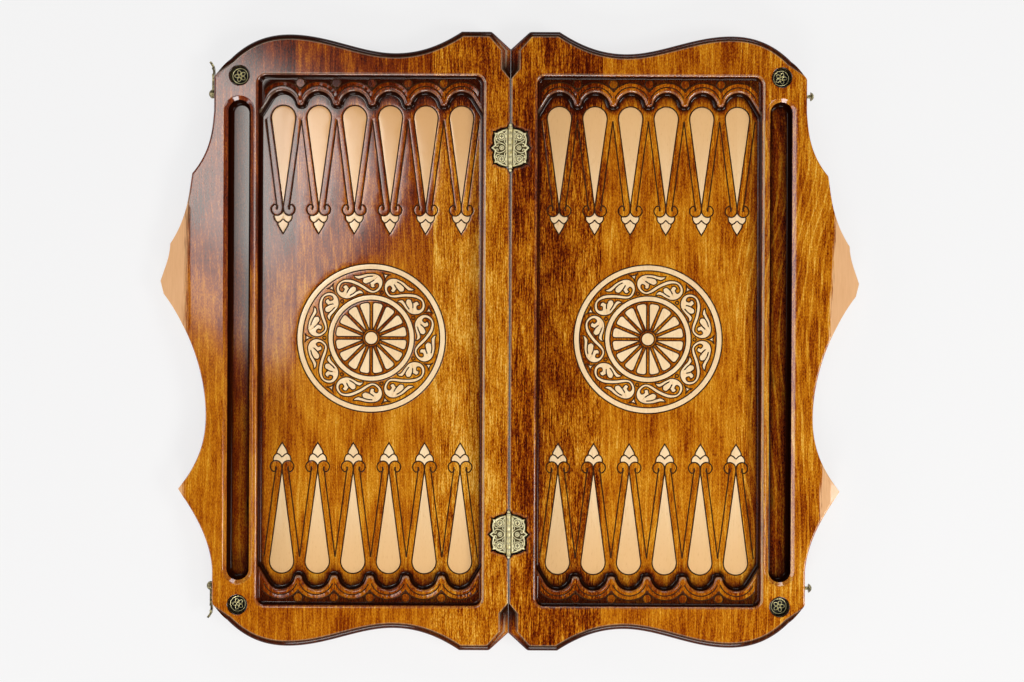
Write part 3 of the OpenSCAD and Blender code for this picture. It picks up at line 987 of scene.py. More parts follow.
def insideMany(points, loop):
    # which of many points lie inside a loop
    x, y = points[:, 0], points[:, 1]
    inside = np.zeros(len(points), bool)
    for (ax, ay), (bx, by) in zip(loop, loop[1:]):
        if ay != by:
            inside ^= ((ay > y) != (by > y)) & (x < ax + (y - ay) * (bx - ax) / (by - ay))
    return inside


def recessRing(s):
    a, b, h, r = recess["inner"] - s, recess["outer"] + s, recess["half"] + s, recess["corner"] + s
    r = max(r, 0.5)
    corners = [(b - r, h - r, 0), (a + r, h - r, 90), (a + r, r - h, 180), (b - r, r - h, 270)]
    loop = []
    for cx, cy, start in corners:
        loop += arc(cx, cy, r, start, start + 90, 1.5)
    return closed(loop)


def pocketEdge(s):
    # the scalloped edge of a ledge, moved by s onto the ledge
    start, r, c = ledge["start"], pocket["radius"] + s, pocket["cusp"]
    turn, below = pocket["endTurn"], 14.0
    reach = cuspReach()
    lean = atan2(c, reach) * 180 / pi
    end = (r + below * sin(turn)) / cos(turn)
    path = [(columns[0] - end, start - below)]
    for i, column in enumerate(columns):
        first, last = i == 0, i == len(columns) - 1
        leave = 180 - turn * 180 / pi if first else 180 - lean
        arrive = turn * 180 / pi if last else lean
        if not first:
            path += arc(column - reach, start + c, c - s, 270, 360 - lean, 0.7)
        path += arc(column, start, r, leave, arrive, 1.2)
        if not last:
            path += arc(column + reach, start + c, c - s, 180 + lean, 270, 0.7)
    return path + [(columns[-1] + end, start - below)]


def troughRing(s):
    r = trough["radius"] + s
    upper = arc(trough["middle"], trough["straight"], r, 0, 180, 1.5)
    return closed(upper + arc(trough["middle"], -trough["straight"], r, 180, 360, 1.5))


def mouldingRing(d):
    # beside the end's outline, narrowing to nothing at the hinge line and at the ear
    runOut, taper, share = board["runOut"]
    start = [(board["edge"], runOut - d / taper), (board["edge"] + d / share, runOut)]
    start.append((board["edge"] + d / share, board["notch"] - 2))
    inside = board["notchReach"] - 2
    body = [p for p in beside(upperEnd, d, earTaper) if p[0] > inside or p[1] > board["notch"]]
    return start + [p for p in body if abs(fromEnd(*p) - d) < 0.15]


def layLines(net):
    net.line(closed(outline))
    for d in mouldingLevels():
        path = mouldingRing(d)
        net.line(path)
        net.line(flipY(path))
    for d in roundLevels(board["sideRound"]):
        net.line(clearBeside(side, d, sideLines))
    for d in roundLevels(board["hingeRound"]) + [1.9]:
        net.line([(board["edge"] + d, -board["ear"]), (board["edge"] + d, board["ear"])])
    for s in dipLevels(recess):
        net.line(recessRing(s))
    for s in dipLevels(ledge):
        path = pocketEdge(s)
        net.line(path)
        net.line(flipY(path))
    for s in troughLevels():
        net.line(troughRing(s))
    for row in (1, -1):
        for s in dipLevels(buttonHole, 3):
            x, y = buttonHole["place"]
            net.line(ring(x, row * y, buttonHole["radius"] + s, 1.2))
        for s in (*grid["mortise"], mortise["lip"], 0.0, -mortise["draft"]):
            path = beside(mortiseLoop, -s)
            net.line([(x, y + row * mortise["middle"]) for x, y in path])
        for x in grid["groove"]:
            reach = mortise["grooveHalf"]
            net.line([(x, row * mortise["middle"] - reach), (x, row * mortise["middle"] + reach)])
    net.line([(board["gripStart"], -grid["grip"]), (board["gripStart"], grid["grip"])])
    for places in seams.values():
        for x in places:
            net.line([(x, -grid["reach"][1]), (x, grid["reach"][1])])
    for paths, half in ((engraving.wide, cutter["half"]), (engraving.fine, cutter["fineHalf"])):
        for path in paths:
            net.line(path)
            net.line(beside(path, half))
            net.line(beside(path, -half))
    for path in engraving.wide:
        for way in (-1, 1):
            for share in grid["shoulder"]:
                net.line(clearBeside(path, way * share * cutter["shoulder"], wideLines))


def layGrid(net):
    # loose points between the lines, so that no triangle is long
    step, clear = grid["pitch"], grid["clear"]
    far, half = (int(reach / step) for reach in grid["reach"])

    def cell(p):
        return (floor(p.x / clear), floor(p.y / clear))

    taken = {cell(p) for p in net.points}
    for i, j in net.edges:
        a, b = net.points[i], net.points[j]
        count = max(1, ceil((b - a).length / clear))
        taken |= {cell(a.lerp(b, k / count)) for k in range(count + 1)}
    for i in range(far):
        for j in range(-half, half):
            p = Vector(((i + 0.5 * (j % 2)) * step, j * step))
            if cell(p) not in taken:
                net.points.append(p)


def fade(d, reach):
    return exp(-max(d, 0.0) / reach)


def band(d, low, high, soft=0.4):
    # one between two distances, with soft ends
    return clamped((d - low) / soft + 0.5) * clamped((high - d) / soft + 0.5)


# stain, painted shade, painted highlights and gloss for the carved face
finishAndPaintedLight = {
    # stain and painted shade by an outline, a hole, a wall or the seam: how much, from which distance, and
    # over how far it fades
    "outline": (0.3, 0.0, 1.2),
    "hole": (1.0, 0.3, 0.6),
    "mortise": (1.0, 0.2, 0.5),
    "sideLip": (0.72, 0.5, 0.4),
    "endLip": (0.9, 0.5, 0.4),
    "innerFoot": (0.6, recess["wall"], 3.6),
    # the painted shade reaches further from the left half's outer wall
    "outerFoot": {-1: (0.72, recess["wall"], 6.0), 1: (0.72, recess["wall"], 3.6)},  # left half, right half
    "endFoot": (0.9, recess["wall"], 1.6),
    "pocketLip": (0.92, 0.1, 0.4),
    "pocketFoot": (0.92, ledge["wall"], 4.0 / 1.5),
    "troughFoot": (0.5, 4.4, 2.6),
    "notchFoot": (0.9, 9.0, 2.5),
    "hingeSide": (1.0, 0.4, 0.3),
    # even stain, with painted shade on the trough floor and the moulding
    "troughBevel": 0.06,
    "troughFloor": {-1: 0.38, 1: 0.44},
    "medallion": 0.42,
    "arches": 0.4,
    "balls": 0.5,
    "archGround": 0.76,
    "moulding": 0.8,
    "notch": 0.35,
    # painted highlights along edges and lips: the distances between which they lie, and how pale they are
    "mortiseHighlight": (1.1, 2.1, 0.15),
    "stepHighlight": (-0.1, 0.6, 0.55),            # counted from the moulding's step
    "notchHighlight": (2.4, 3.4, 0.9),
    "lipHighlight": (1.2, 2.9),
    # the painted highlight is strongest on lips that face left
    "lipPale": {"facesLeft": 0.75, "facesRight": 0.1, "upperEnd": 0.35, "lowerEnd": 0.12},
    "pocketHighlight": (0.4, 2.2),
    "cuspRun": 3.5,
    "pocketPale": {"upper": 0.26, "upperCusp": 0.1, "lower": 0.05, "lowerCusp": 0.6},
    "hingeHighlight": (0.7, 1.6),
    "hingePale": {-1: 0.3, 1: 0.8},
    # dull places: up to which distance, and the share of the gloss that is left
    "hingeGloss": (0.6, 0.1),
    "lipGloss": (0.6, 0.4),
    "pocketGloss": (0.2, 0.35),
    "archGloss": (-0.3, 1.2, 0.3),           # from this distance to that
    "troughGloss": (-5.4, 0.15),
    "floorGloss": (0.7, 0.55),               # on the left trough's middle, and what it loses outwards
    "mouldingGloss": 0.35,
    "notchGloss": 0.7,
}


# stain and painted shade that fade away from a wall, a hole or an edge
def darkened(d, amount, start, reach):
    return amount * fade(d - start, reach)


# a painted highlight, as a pale line between two distances
def paintedHighlight(d, low, high, pale):
    return pale * band(d, low, high)


def alongSide(y):
    # whether the recess's nearest wall is one of its long ones
    return abs(y) < recess["half"] - recess["endRun"]


def rimStainAndPaintedLight(x, y, r, e, sign):
    # darker along the outline, painted shade round the button hole and the mortise, and painted highlights
    # on the recess's lips, on the moulding's step and round the mortise; the lips' highlight is strongest
    # where they face left
    m = fromMortise(x, y)
    if alongSide(y):
        lip = "facesLeft" if (x > medallion["centre"][0]) == (sign > 0) else "facesRight"
    else:
        lip = "upperEnd" if y > 0 else "lowerEnd"
    tone = max(darkened(edgeLines.distance(x, y), *finishAndPaintedLight["outline"]),
               darkened(fromButtonHole(x, y), *finishAndPaintedLight["hole"]), darkened(m, *finishAndPaintedLight["mortise"]))
    rub = max(paintedHighlight(m, *finishAndPaintedLight["mortiseHighlight"]), paintedHighlight(e - board["mouldingWidth"], *finishAndPaintedLight["stepHighlight"]),
              paintedHighlight(r, *finishAndPaintedLight["lipHighlight"], finishAndPaintedLight["lipPale"][lip]))
    return tone, rub, 1.0


def troughStainAndShade(x, y, sign):
    # a clean bevel, a dull wall, a stained floor with painted shade on it, and a darker painted shade at
    # its foot
    t = fromTrough(x, y)
    if t > trough["edge"] + 0.1:
        return finishAndPaintedLight["troughBevel"], 0.0, 1.0
    tone = finishAndPaintedLight["troughFloor"][sign] + darkened(-t, *finishAndPaintedLight["troughFoot"])
    wall, dull = finishAndPaintedLight["troughGloss"]
    if t > wall or sign > 0:
        return tone, 0.0, dull if t > wall else 1.0
    gloss, loss = finishAndPaintedLight["floorGloss"]
    return tone, 0.0, gloss - loss * (x - trough["middle"]) / trough["radius"]


def recessPaintedShade(x, y, r, sign):
    # painted shade on the recess's lip and wall and along the foot of its walls, reaching further on the
    # left half's outer side
    if r > -recess["wall"]:
        reach, dull = finishAndPaintedLight["lipGloss"]
        tone = darkened(r, *finishAndPaintedLight["sideLip" if alongSide(y) else "endLip"])
        return tone, 0.0, dull if r < reach else 1.0
    if abs(y) >= ledge["start"]:
        foot = finishAndPaintedLight["endFoot"]
    else:
        foot = finishAndPaintedLight["outerFoot"][sign] if x > medallion["centre"][0] else finishAndPaintedLight["innerFoot"]
    return darkened(-r, *foot), 0.0, 1.0


def fieldStainAndShade(x, y, f):
    # the field, stained darker inside the medallion, with painted shade towards the pockets
    cx, cy = medallion["centre"]
    inside = hypot(x - cx, y - cy) < medallion["inner"][0] - 0.4
    tone = max(finishAndPaintedLight["medallion"] if inside else 0.0, darkened(-f, *finishAndPaintedLight["pocketFoot"]))
    return tone, 0.0, 1.0


def ledgeStainAndPaintedLight(x, y, f):
    # the arcade's stain on a ledge, painted shade on the lips of its pockets, and painted highlights on
    # those lips, strongest at the lower row's cusps
    arch = fromArch(x, y)
    tone = finishAndPaintedLight["archGround"] if arch < 0.1 else finishAndPaintedLight["arches"]
    tone = finishAndPaintedLight["balls"] if fromBall(x, y) < arcade["ballRadius"] - 0.4 else tone
    atCusp = abs(y) < ledge["start"] + finishAndPaintedLight["cuspRun"] and columns[0] < x < columns[-1]
    place = ("upper" if y > 0 else "lower") + ("Cusp" if atCusp else "")
    wall, dull = finishAndPaintedLight["pocketGloss"]
    low, high, soft = finishAndPaintedLight["archGloss"]
    return (max(tone, darkened(f, *finishAndPaintedLight["pocketLip"])),
            paintedHighlight(f, *finishAndPaintedLight["pocketHighlight"], finishAndPaintedLight["pocketPale"][place]),
            dull if f < wall else soft if low < arch < high else 1.0)


def mouldingPaintedLight(x, y, e, sign):
    # painted shade on the moulding, and the notch where it turns in beside the hinge line, with painted
    # shade deep in it and a painted highlight on the left half
    if x >= board["notchReach"] or not board["ear"] < abs(y) < board["notch"]:
        return finishAndPaintedLight["moulding"], 0.0, finishAndPaintedLight["mouldingGloss"]
    deep = darkened(abs(y) - board["ear"], *finishAndPaintedLight["notchFoot"])
    rub = paintedHighlight(e, *finishAndPaintedLight["notchHighlight"]) if sign < 0 and deep < 0.5 else 0.0
    return max(deep, finishAndPaintedLight["notch"]), rub, finishAndPaintedLight["notchGloss"]


def surfaceStainAndPaintedLight(x, y, sign):
    # how much dark stain and painted shade lie at a place, how strong a painted highlight is there, and how
    # glossy it is
    r, f, e = fromRecess(x, y), fromField(x, y), fromEnd(x, y)
    found = [rimStainAndPaintedLight(x, y, r, e, sign), troughStainAndShade(x, y, sign), recessPaintedShade(x, y, r, sign)]
    if r < 0:
        found.append(ledgeStainAndPaintedLight(x, y, f) if f > -ledge["wall"] else fieldStainAndShade(x, y, f))
    if e < board["mouldingWidth"] - 0.05:
        found.append(mouldingPaintedLight(x, y, e, sign))
    # beside the hinge line: painted shade in the seam, and a painted highlight next to it, stronger on the
    # right half
    hingeWall = False
    if abs(y) < board["ear"] + 0.5:
        h = x - board["edge"]
        reach, dull = finishAndPaintedLight["hingeGloss"]
        hingeWall = h < reach
        rub = paintedHighlight(h, *finishAndPaintedLight["hingeHighlight"], finishAndPaintedLight["hingePale"][sign])
        found.append((darkened(h, *finishAndPaintedLight["hingeSide"]), rub, dull if hingeWall else 1.0))
    tones, paintedGlints, gloss = zip(*found)
    return min(1.0, max(tones)), 0.0 if hingeWall else max(paintedGlints), min(gloss)


def carvedFace():
    net = Net()
    layLines(net)
    layGrid(net)
    points, faces = net.triangles()
    print("carved face:", len(points), "points,", len(faces), "triangles")
    flat = np.array(points)
    corners = np.array(faces)
    middles = flat[corners].mean(axis=1)
    keep = insideMany(middles, closed(outline))
    corners, middles = corners[keep], middles[keep]
    heights = [plainHeight(x, y) - grooveDepth(x, y) for x, y in points]
    stainAndPaintedLight = {sign: [surfaceStainAndPaintedLight(x, y, sign) for x, y in points] for sign in (1, -1)}
    pale = np.zeros(len(corners), bool)
    for loop, holes in engraving.pale:
        box = np.array(loop)
        near = np.where(((middles >= box.min(axis=0)) & (middles <= box.max(axis=0))).all(axis=1))[0]
        hit = insideMany(middles[near], loop)
        for hole in holes:
            hit &= ~insideMany(middles[near], hole)
        pale[near] |= hit
    groove = np.array([inGroove(x, y) for x, y in middles])
    kinds = np.where(groove, 2, np.where(pale, 1, 0))
    return flat, heights, stainAndPaintedLight, corners, kinds, middles


def boundaryEdges(faces):
    # edges that only one of the faces uses, in that face's direction
    seen = {}
    for face in faces:
        for a, b in zip(face, (*face[1:], face[0])):
            seen[(a, b)] = True
    return [(a, b) for a, b in seen if (b, a) not in seen]


def isOn(x, *points):
    # whether points lie on the seam at x
    return all(abs(p[0] - x) < 0.01 for p in points)


def underFace(flat, rimEdges):
    # the plain underside, with a rounded edge all round
    net = Net()
    for a, b in rimEdges:
        net.line([tuple(flat[a]), tuple(flat[b])])
    for d in roundLevels(board["footRound"]):
        net.line(clearBeside(outline, d, edgeLines))
    for places in seams.values():
        for x in places:
            ys = [flat[a][1] for a, b in rimEdges if isOn(x, flat[a])]
            net.line([(x, min(ys)), (x, max(ys))])
    layGrid(net)
    points, faces = net.triangles()
    middles = np.array(points)[np.array(faces)].mean(axis=1)
    keep = insideMany(middles, closed(outline))
    heights = [roundDrop(edgeLines.distance(x, y), board["footRound"]) for x, y in points]
    return points, heights, [f for f, k in zip(faces, keep) if k], middles[keep]


def gridKey(p):
    # the same for two points that lie on each other
    return (round(p[0] * 50), round(p[1] * 50))


underFinish = (0.2, 0.0, 1.0)    # tone, painted highlight and gloss of the underside


def cutStave(name, half, low, high, face, under):
    sign = halves[half]
    flat, heights, stainAndPaintedLight, corners, kinds, middles = face
    underPoints, underHeights, underFaces, underMiddles = under
    inside = (middles[:, 0] > low) & (middles[:, 0] < high)
    top = [tuple(c) for c in corners[inside]]
    slots = list(kinds[inside])
    places, worn, index = [], [], {}

    def use(layer, i, x, y, z, finish):
        if (layer, i) not in index:
            index[(layer, i)] = len(places)
            places.append((sign * x, y, z))
            worn.append(finish)
        return index[(layer, i)]

    def topPoint(i):
        return use("top", i, *flat[i], heights[i], stainAndPaintedLight[sign][i])

    def lowPoint(i):
        return use("low", i, *underPoints[i], underHeights[i], underFinish)

    def lowBelow(i):
        return lowPoint(lowAt[gridKey(flat[i])])

    faces = [tuple(topPoint(i) for i in f) for f in top]
    bottom = [f for f, m in zip(underFaces, underMiddles) if low < m[0] < high]
    faces += [tuple(lowPoint(i) for i in reversed(f)) for f in bottom]
    lowAt = {gridKey(underPoints[i]): i for f in bottom for i in f}
    onSeam = {low: [], high: []}
    for a, b in boundaryEdges(top):
        cut = next((x for x in (low, high) if isOn(x, flat[a], flat[b])), None)
        if cut is not None and low > 1 or cut == high:
            onSeam[cut] += [a, b]
        else:
            faces.append((topPoint(b), topPoint(a), lowBelow(a), lowBelow(b)))
    for x, found in onSeam.items():
        if not found:
            continue
        upper = sorted(set(found), key=lambda i: flat[i][1])
        lower = sorted({i for f in bottom for i in f if isOn(x, underPoints[i])},
                       key=lambda i: -underPoints[i][1])
        faces.append(tuple([topPoint(i) for i in upper] + [lowPoint(i) for i in lower]))
    # the points keep stain with painted shade, painted highlights and gloss
    layers = dict(zip(("tone", "rub", "gloss"), zip(*worn)))
    mesh = makePiece("carved", name, half, places, faces, layers, sharpFrom["wood"])
    slots += [0] * (len(faces) - len(slots))
    mesh.polygons.foreach_set("material_index", slots)
    return mesh


# Wood

stain = {
    "stops": [(0.0, rgb(60, 10, 0)), (0.28, rgb(126, 46, 0)), (0.52, rgb(184, 104, 4)),
              (0.76, rgb(214, 146, 28)), (1.0, rgb(238, 186, 84))],
    "fleck": rgb(82, 22, 0),
    # the colour of stain and painted shade in hollows, along walls and in the seam
    "gatheredStainAndShade": rgb(30, 9, 1),
    # the colour of painted highlights
    "paintedHighlight": rgb(164, 152, 128),
    "bare": [(0.25, rgb(218, 164, 114)), (0.75, rgb(236, 188, 140))],
    "rails": (248.0, 264.0),     # where the end rails' own tone starts and is full
    "upperRail": (0.30, -0.02),  # share of the stave's painted upper shade there, and what is added
    "lowerRail": 0.07,
    "upperShadeRun": 150.0,           # over this way a painted shade deepens towards the upper end
    "hollow": 0.42,              # how much darker it is where stain and painted shade have gathered
    "bowRun": (30.0, 190.0),
}
paleTint = {
    "light": rgb(252, 224, 180),
    "body": rgb(242, 208, 160),
    "head": rgb(230, 182, 122),
    "line": rgb(208, 152, 94),
}
lacquer = {"darkened": 0.10, "pale": 0.12, "index": 1.65}     # roughness on both, and its index


def lacquered(shader, wood, fleck, streak, coat, roughness):
    # wood whose grain stands out a little, under a clear coat
    setShader(shader, {
        "Base Color": wood,
        "Roughness": 0.45 + streak * 0.2,
        "Specular IOR Level": 0.0,
        "Coat Weight": coat,
        "Coat Roughness": roughness,
        "Coat IOR": lacquer["index"],
        "Normal": (fleck * 0.5 + streak).bump(0.06, 0.0003),
    })


def stainedBeech(name, seed, lift, grain, vein, bow, upper, upperShadeFrom, bareFrom, bareLean, bareSoft):
    material, tree, shader = newMaterial(name)
    flat = surfacePlace(tree)
    place = flat.moved((37.0 * seed, 211.0 * seed, 5.0 * seed))
    along = flat.axis(1)
    outward = flat.math("ABSOLUTE", flat.axis(0))
    drift = place.grain(70, 190)
    lean = along.step(*stain["bowRun"]) * bow
    lines = drift.math("SINE", (outward - lean) * 0.8 + (drift - 0.5) * 30)
    streak = place.grain(1.1, 20, 3.0, 0.6)
    fleck = place.grain(0.8, 2.2, 2.0, 0.6)
    dash = place.moved((9.0, 4.0, 0.0)).grain(0.8, 4, 1.0)
    mottle = place.grain(22, 60, 4.0, 0.6)
    tone, rub, gloss = (place.layer(kind) for kind in ("tone", "rub", "gloss"))
    share, extra = stain["upperRail"]
    rails = along.step(*stain["rails"]) * (share * upper + extra)
    rails = rails + (0 - along).step(*stain["rails"]) * stain["lowerRail"]
    # darker towards the upper end, a painted shade, and where stain and painted shade have gathered
    depth = rails + along.step(upperShadeFrom, upperShadeFrom + stain["upperShadeRun"]) * upper + tone * stain["hollow"]
    beads = fleck * (0.45 + 0.8 * grain)
    bands = streak.step(0.27, 0.73) * grain * 0.5 + lines.step(0.5, 1.0) * vein
    clouds = mottle * (0.6 + 0.6 * grain)
    value = clouds + beads + bands - depth - (0.95 * grain + 0.2 * vein - 0.025 - lift)
    wood = value.ramp(stain["stops"])
    wood = (dash.step(0.58, 0.74) * (0.12 + 0.32 * grain)).mixed(wood, stain["fleck"])
    reach = outward - along * bareLean + (streak - 0.5) * 10
    bare = reach.step(bareFrom - bareSoft, bareFrom + bareSoft)
    wood = bare.mixed(wood, (mottle * 0.5 + streak * 0.5).ramp(stain["bare"]))
    # stain and painted shade darken the hollows, the walls and the seam
    uneven = tone + (mottle + streak * 2 - 1.5) * 2 * tone * (1 - tone)
    wood = uneven.step(0.42, 1.0).mixed(wood, stain["gatheredStainAndShade"])
    # painted highlights along lips and edges
    wood = (rub * (0.25 + 1.1 * fleck)).mixed(wood, stain["paintedHighlight"])
    lacquered(shader, wood, fleck, streak, gloss * (0.96 - 0.5 * bare), lacquer["darkened"])
    return material


def paleBeech(name, seed, upper):
    material, tree, shader = newMaterial(name)
    flat = surfacePlace(tree)
    place = flat.moved((53.0 * seed, 97.0 * seed, 3.0 * seed))
    streak = place.grain(2.2, 50, 3.0, 0.6)
    fleck = place.grain(0.8, 5)
    mottle = place.grain(24, 60)
    value = mottle * 1.6 + streak - 0.8
    wood = value.ramp([(0.2, paleTint["body"]), (0.8, paleTint["light"])])
    along = flat.axis(1)
    toHead = (along.math("ABSOLUTE", along) + (mottle - 0.5) * 60).step(110.0, 225.0)
    wood = (toHead * 0.85).mixed(wood, paleTint["head"])
    # darker towards the upper end: a painted shade
    wood = (along.step(60.0, 200.0) * (2.2 * upper)).mixed(wood, paleTint["line"])
    wood = (fleck.step(0.58, 0.75) * 0.4).mixed(wood, paleTint["line"])
    lacquered(shader, wood, fleck, streak, 0.85 + fleck * 0.12, lacquer["pale"])
    return material


def cutStain(name):
    # the dark stain left in the engraved lines
    material, tree, shader = newMaterial(name)
    speck = surfacePlace(tree).grain(1.5, 3, 3.0)
    setShader(shader, {
        "Base Color": speck.ramp([(0.3, rgb(40, 18, 5)), (0.75, rgb(92, 52, 15))]),
        "Roughness": 0.5 + speck * 0.2,
        "Specular IOR Level": 0.2,
    })
    return material


unworn = (400.0, 0.0, 1.5)       # a line outside the stave
staves = {
    # lift of tone, strength of the streaks, strength and bow of the pale veins,
    # how much darker it is towards the upper end, a painted shade, and from where,
    # and where it has worn off towards the grip, how that line leans and how soft it is
    "left_hinge_stave": (0.10, 1.0, 0.05, 0.0, 0.22, 70.0, *unworn),
    "left_middle_stave": (0.03, 0.55, 0.10, 8.0, 0.26, -20.0, *unworn),
    "left_outer_stave": (-0.01, 0.4, 0.10, 12.0, 0.34, -20.0, 314.0, -0.015, 4.0),
    "right_hinge_stave": (-0.16, 1.1, 0.04, 0.0, 0.10, 70.0, *unworn),
    "right_middle_stave": (0.03, 0.55, 0.10, 4.0, 0.06, 60.0, *unworn),
    "right_outer_stave": (0.0, 0.75, 0.2, 24.0, 0.02, 60.0, 309.0, 0.05, 1.5),
}


def makeStaves():
    face = carvedFace()
    under = underFace(face[0], boundaryEdges([tuple(c) for c in face[3]]))
    lines = cutStain("cut_line_stain")
    for number, (name, finish) in enumerate(staves.items(), 1):
        half, part = name.split("_")[:2]
        cuts = (0.0, *seams[half], grid["reach"][0])
        place = ("hinge", "middle", "outer").index(part)
        low, high = cuts[place:place + 2]
        mesh = cutStave(name, half, low, high, face, under)
        mesh.materials.append(stainedBeech(half + "_" + part + "_stain", number, *finish))
        mesh.materials.append(paleBeech(half + "_" + part + "_pale", number, finish[4]))
        mesh.materials.append(lines)
        print("stave:", name, len(mesh.polygons), "faces")


makeStaves()


# Metal

brass = {
    "pale": [(0.1, rgb(72, 60, 24)), (0.4, rgb(192, 174, 104)), (0.66, rgb(252, 244, 198))],
    "dark": [(0.1, rgb(10, 8, 5)), (0.42, rgb(74, 62, 34)), (0.7, rgb(240, 230, 170))],
}


def agedBrass(name, stops, roughness, dull=0.0):
    # tarnish lies in the hollows, where the tone is high, and the raised parts are worn bright
    material, tree, shader = newMaterial(name)
    place = surfacePlace(tree)
    tone = place.layer("tone")
    cloud = place.scaled((0.35, 0.35, 0.35)).noise(4.0, 0.6)
    grit = place.scaled((2.2, 2.2, 2.2)).noise(2.0)
    worn = cloud * 0.7 + grit * 0.5 + (0.15 - dull) - tone * 0.75
    setShader(shader, {
        "Base Color": worn.ramp(stops),
        "Metallic": 0.35 + 0.2 * worn.step(0.2, 0.6),
        "Roughness": roughness + 0.25 * tone + grit * 0.12,
        "Normal": (grit + cloud).bump(0.12, 0.0002),
    })
    return material


paleBrass = agedBrass("pale_brass", brass["pale"], 0.32, 0.07)
darkBrass = agedBrass("dark_brass", brass["dark"], 0.3)
latchBrass = agedBrass("latch_brass", brass["dark"], 0.26, 0.28)


class Form:
    # a mesh in the making: its points in millimetres, the tarnish at each, and its faces
    def __init__(self):
        self.places = []
        self.tones = []
        self.faces = []

    def add(self, places, tones, faces):
        start = len(self.places)
        self.places += places
        self.tones += tones
        self.faces += [tuple(start + i for i in face) for face in faces]

    def turned(self, profile, at, sides=28):
        # a profile of (along, radius, tone) turned about an axis; at places a point (along, across, up)
        places, tones, faces = [], [], []
        for along, radius, tone in profile:
            for k in range(sides):
                t = 2 * pi * k / sides
                places.append(at(along, radius * cos(t), radius * sin(t)))
                tones.append(tone)
        for i in range(len(profile) - 1):
            for k in range(sides):
                n = (k + 1) % sides
                faces.append((i * sides + k, i * sides + n, (i + 1) * sides + n, (i + 1) * sides + k))
        last = (len(profile) - 1) * sides
        faces += [tuple(range(sides)), tuple(range(last, last + sides))]
        self.add(places, tones, faces)

    def relief(self, loop, lines, height, tone, bottom, at):
        # a plate with a raised pattern on its upper face
        net = Net()
        for path in [loop] + lines:
            net.line(path)
        points, triangles = net.triangles()
        middles = np.array(points)[np.array(triangles)].mean(axis=1)
        top = [f for f, k in zip(triangles, insideMany(middles, loop)) if k]
        used = sorted({i for f in top for i in f})
        number = {i: n for n, i in enumerate(used)}
        count = len(used)
        places = [at(*points[i], height(*points[i])) for i in used] + [at(*points[i], bottom) for i in used]
        tones = [tone(*points[i]) for i in used] + [0.8] * count
        faces = [tuple(number[i] for i in f) for f in top]
        faces += [tuple(number[i] + count for i in reversed(f)) for f in top]
        for a, b in boundaryEdges(top):
            faces.append((number[b], number[a], number[a] + count, number[b] + count))
        self.add(places, tones, faces)

    def made(self, kind, finish, node, half):
        layers = {"tone": self.tones}
        mesh = makePiece(kind, node, half, self.places, self.faces, layers, sharpFrom["metal"])
        mesh.materials.append(finish)


def dome(d, half, rise):
    return rise * sqrt(max(0.0, 1 - (d / half) ** 2))


def mirrored(profile):
    # a turned profile followed by its mirror image
    return profile + [(-along, radius, tone) for along, radius, tone in reversed(profile)]


def strokes(paths, half):
    # the lines that a raised stroke's triangles follow
    lines = []
    for path in paths:
        lines.append(path)
        for share in (-1.0, -0.6, 0.6, 1.0):
            lines.append(beside(path, share * half))
    return lines


# Hinges

hinge = {
    "middle": mortise["middle"],
    "axis": board["foldHeight"],
    "barrel": 2.15,
    "length": 40.6,
    "knuckles": 7,
    "gap": 0.3,
    "pin": 0.85,
    "finial": 1.45,
    "finialAt": 21.85,
    "neck": (0.25, 1.05),        # beside the finial: its length and radius
    "plateFrom": 2.5,            # the plate's side beside the barrel
    "web": 1.3,                  # its tabs reach under their own knuckles
    "floor": mortise["floor"],
    "ground": 28.95,
    "stroke": 0.5,
    "border": 0.75,
    "rise": 0.5,
    "screw": (8.53, 10.97),
    "boss": 3.7,
    "inset": 1.0,                # from the leaf's edge to the middle of its border
    "innerBorder": (3.4, 16.4),
    "rosette": (8.3, 1.9, 0.7),
}

knuckleBead = [
    # from the knuckle's end, in from the barrel's round, and the tarnish there
    (0.0, 0.95, 0.9), (0.0, 0.3, 0.6), (0.15, 0.06, 0.1), (0.4, 0.0, 0.0),
    (0.65, 0.06, 0.2), (0.8, 0.3, 0.9), (1.0, 0.14, 0.2),
]

leafScrolls = [
    [(4.2, 1.2), (6.2, 3.3), (9.4, 4.7), (12.4, 4.4), (14.0, 2.8), (13.4, 1.3), (12.0, 1.5), (12.0, 2.6)],
    [(4.3, 4.0), (5.6, 5.4), (5.4, 7.4), (4.3, 8.2)],
    [(10.6, 6.2), (12.6, 6.6), (13.9, 8.2), (13.4, 9.6), (12.9, 8.8)],
    [(4.3, 15.6), (5.2, 13.6), (4.3, 11.2)],
    [(8.4, 15.6), (11.2, 15.0), (13.2, 13.0)],
    [(15.2, 6.6), (14.6, 4.9), (15.4, 3.6)],
]
leafTip = [(15.2, 2.4), (16.9, 0), (15.2, -2.4)]


def leafLoop(first):
    # the plate's edge, with a tab under each of its own knuckles
    h = hinge
    near, pitch = h["plateFrom"], h["length"] / h["knuckles"]
    edge = [p for p in leafEdge(0) if p[0] > near]
    reach = edge[0][1]
    path = [(near, reach)] + edge + [(near, -reach)]
    for k in range(first, h["knuckles"], 2):
        middle = (k + 0.5) * pitch - h["length"] / 2
        half = (pitch - h["gap"]) / 2 - 0.1
        low, high = max(middle - half, 0.2 - reach), min(middle + half, reach - 0.2)
        path += [(near, low), (h["web"], low), (h["web"], high), (near, high)]
    return closed(path)


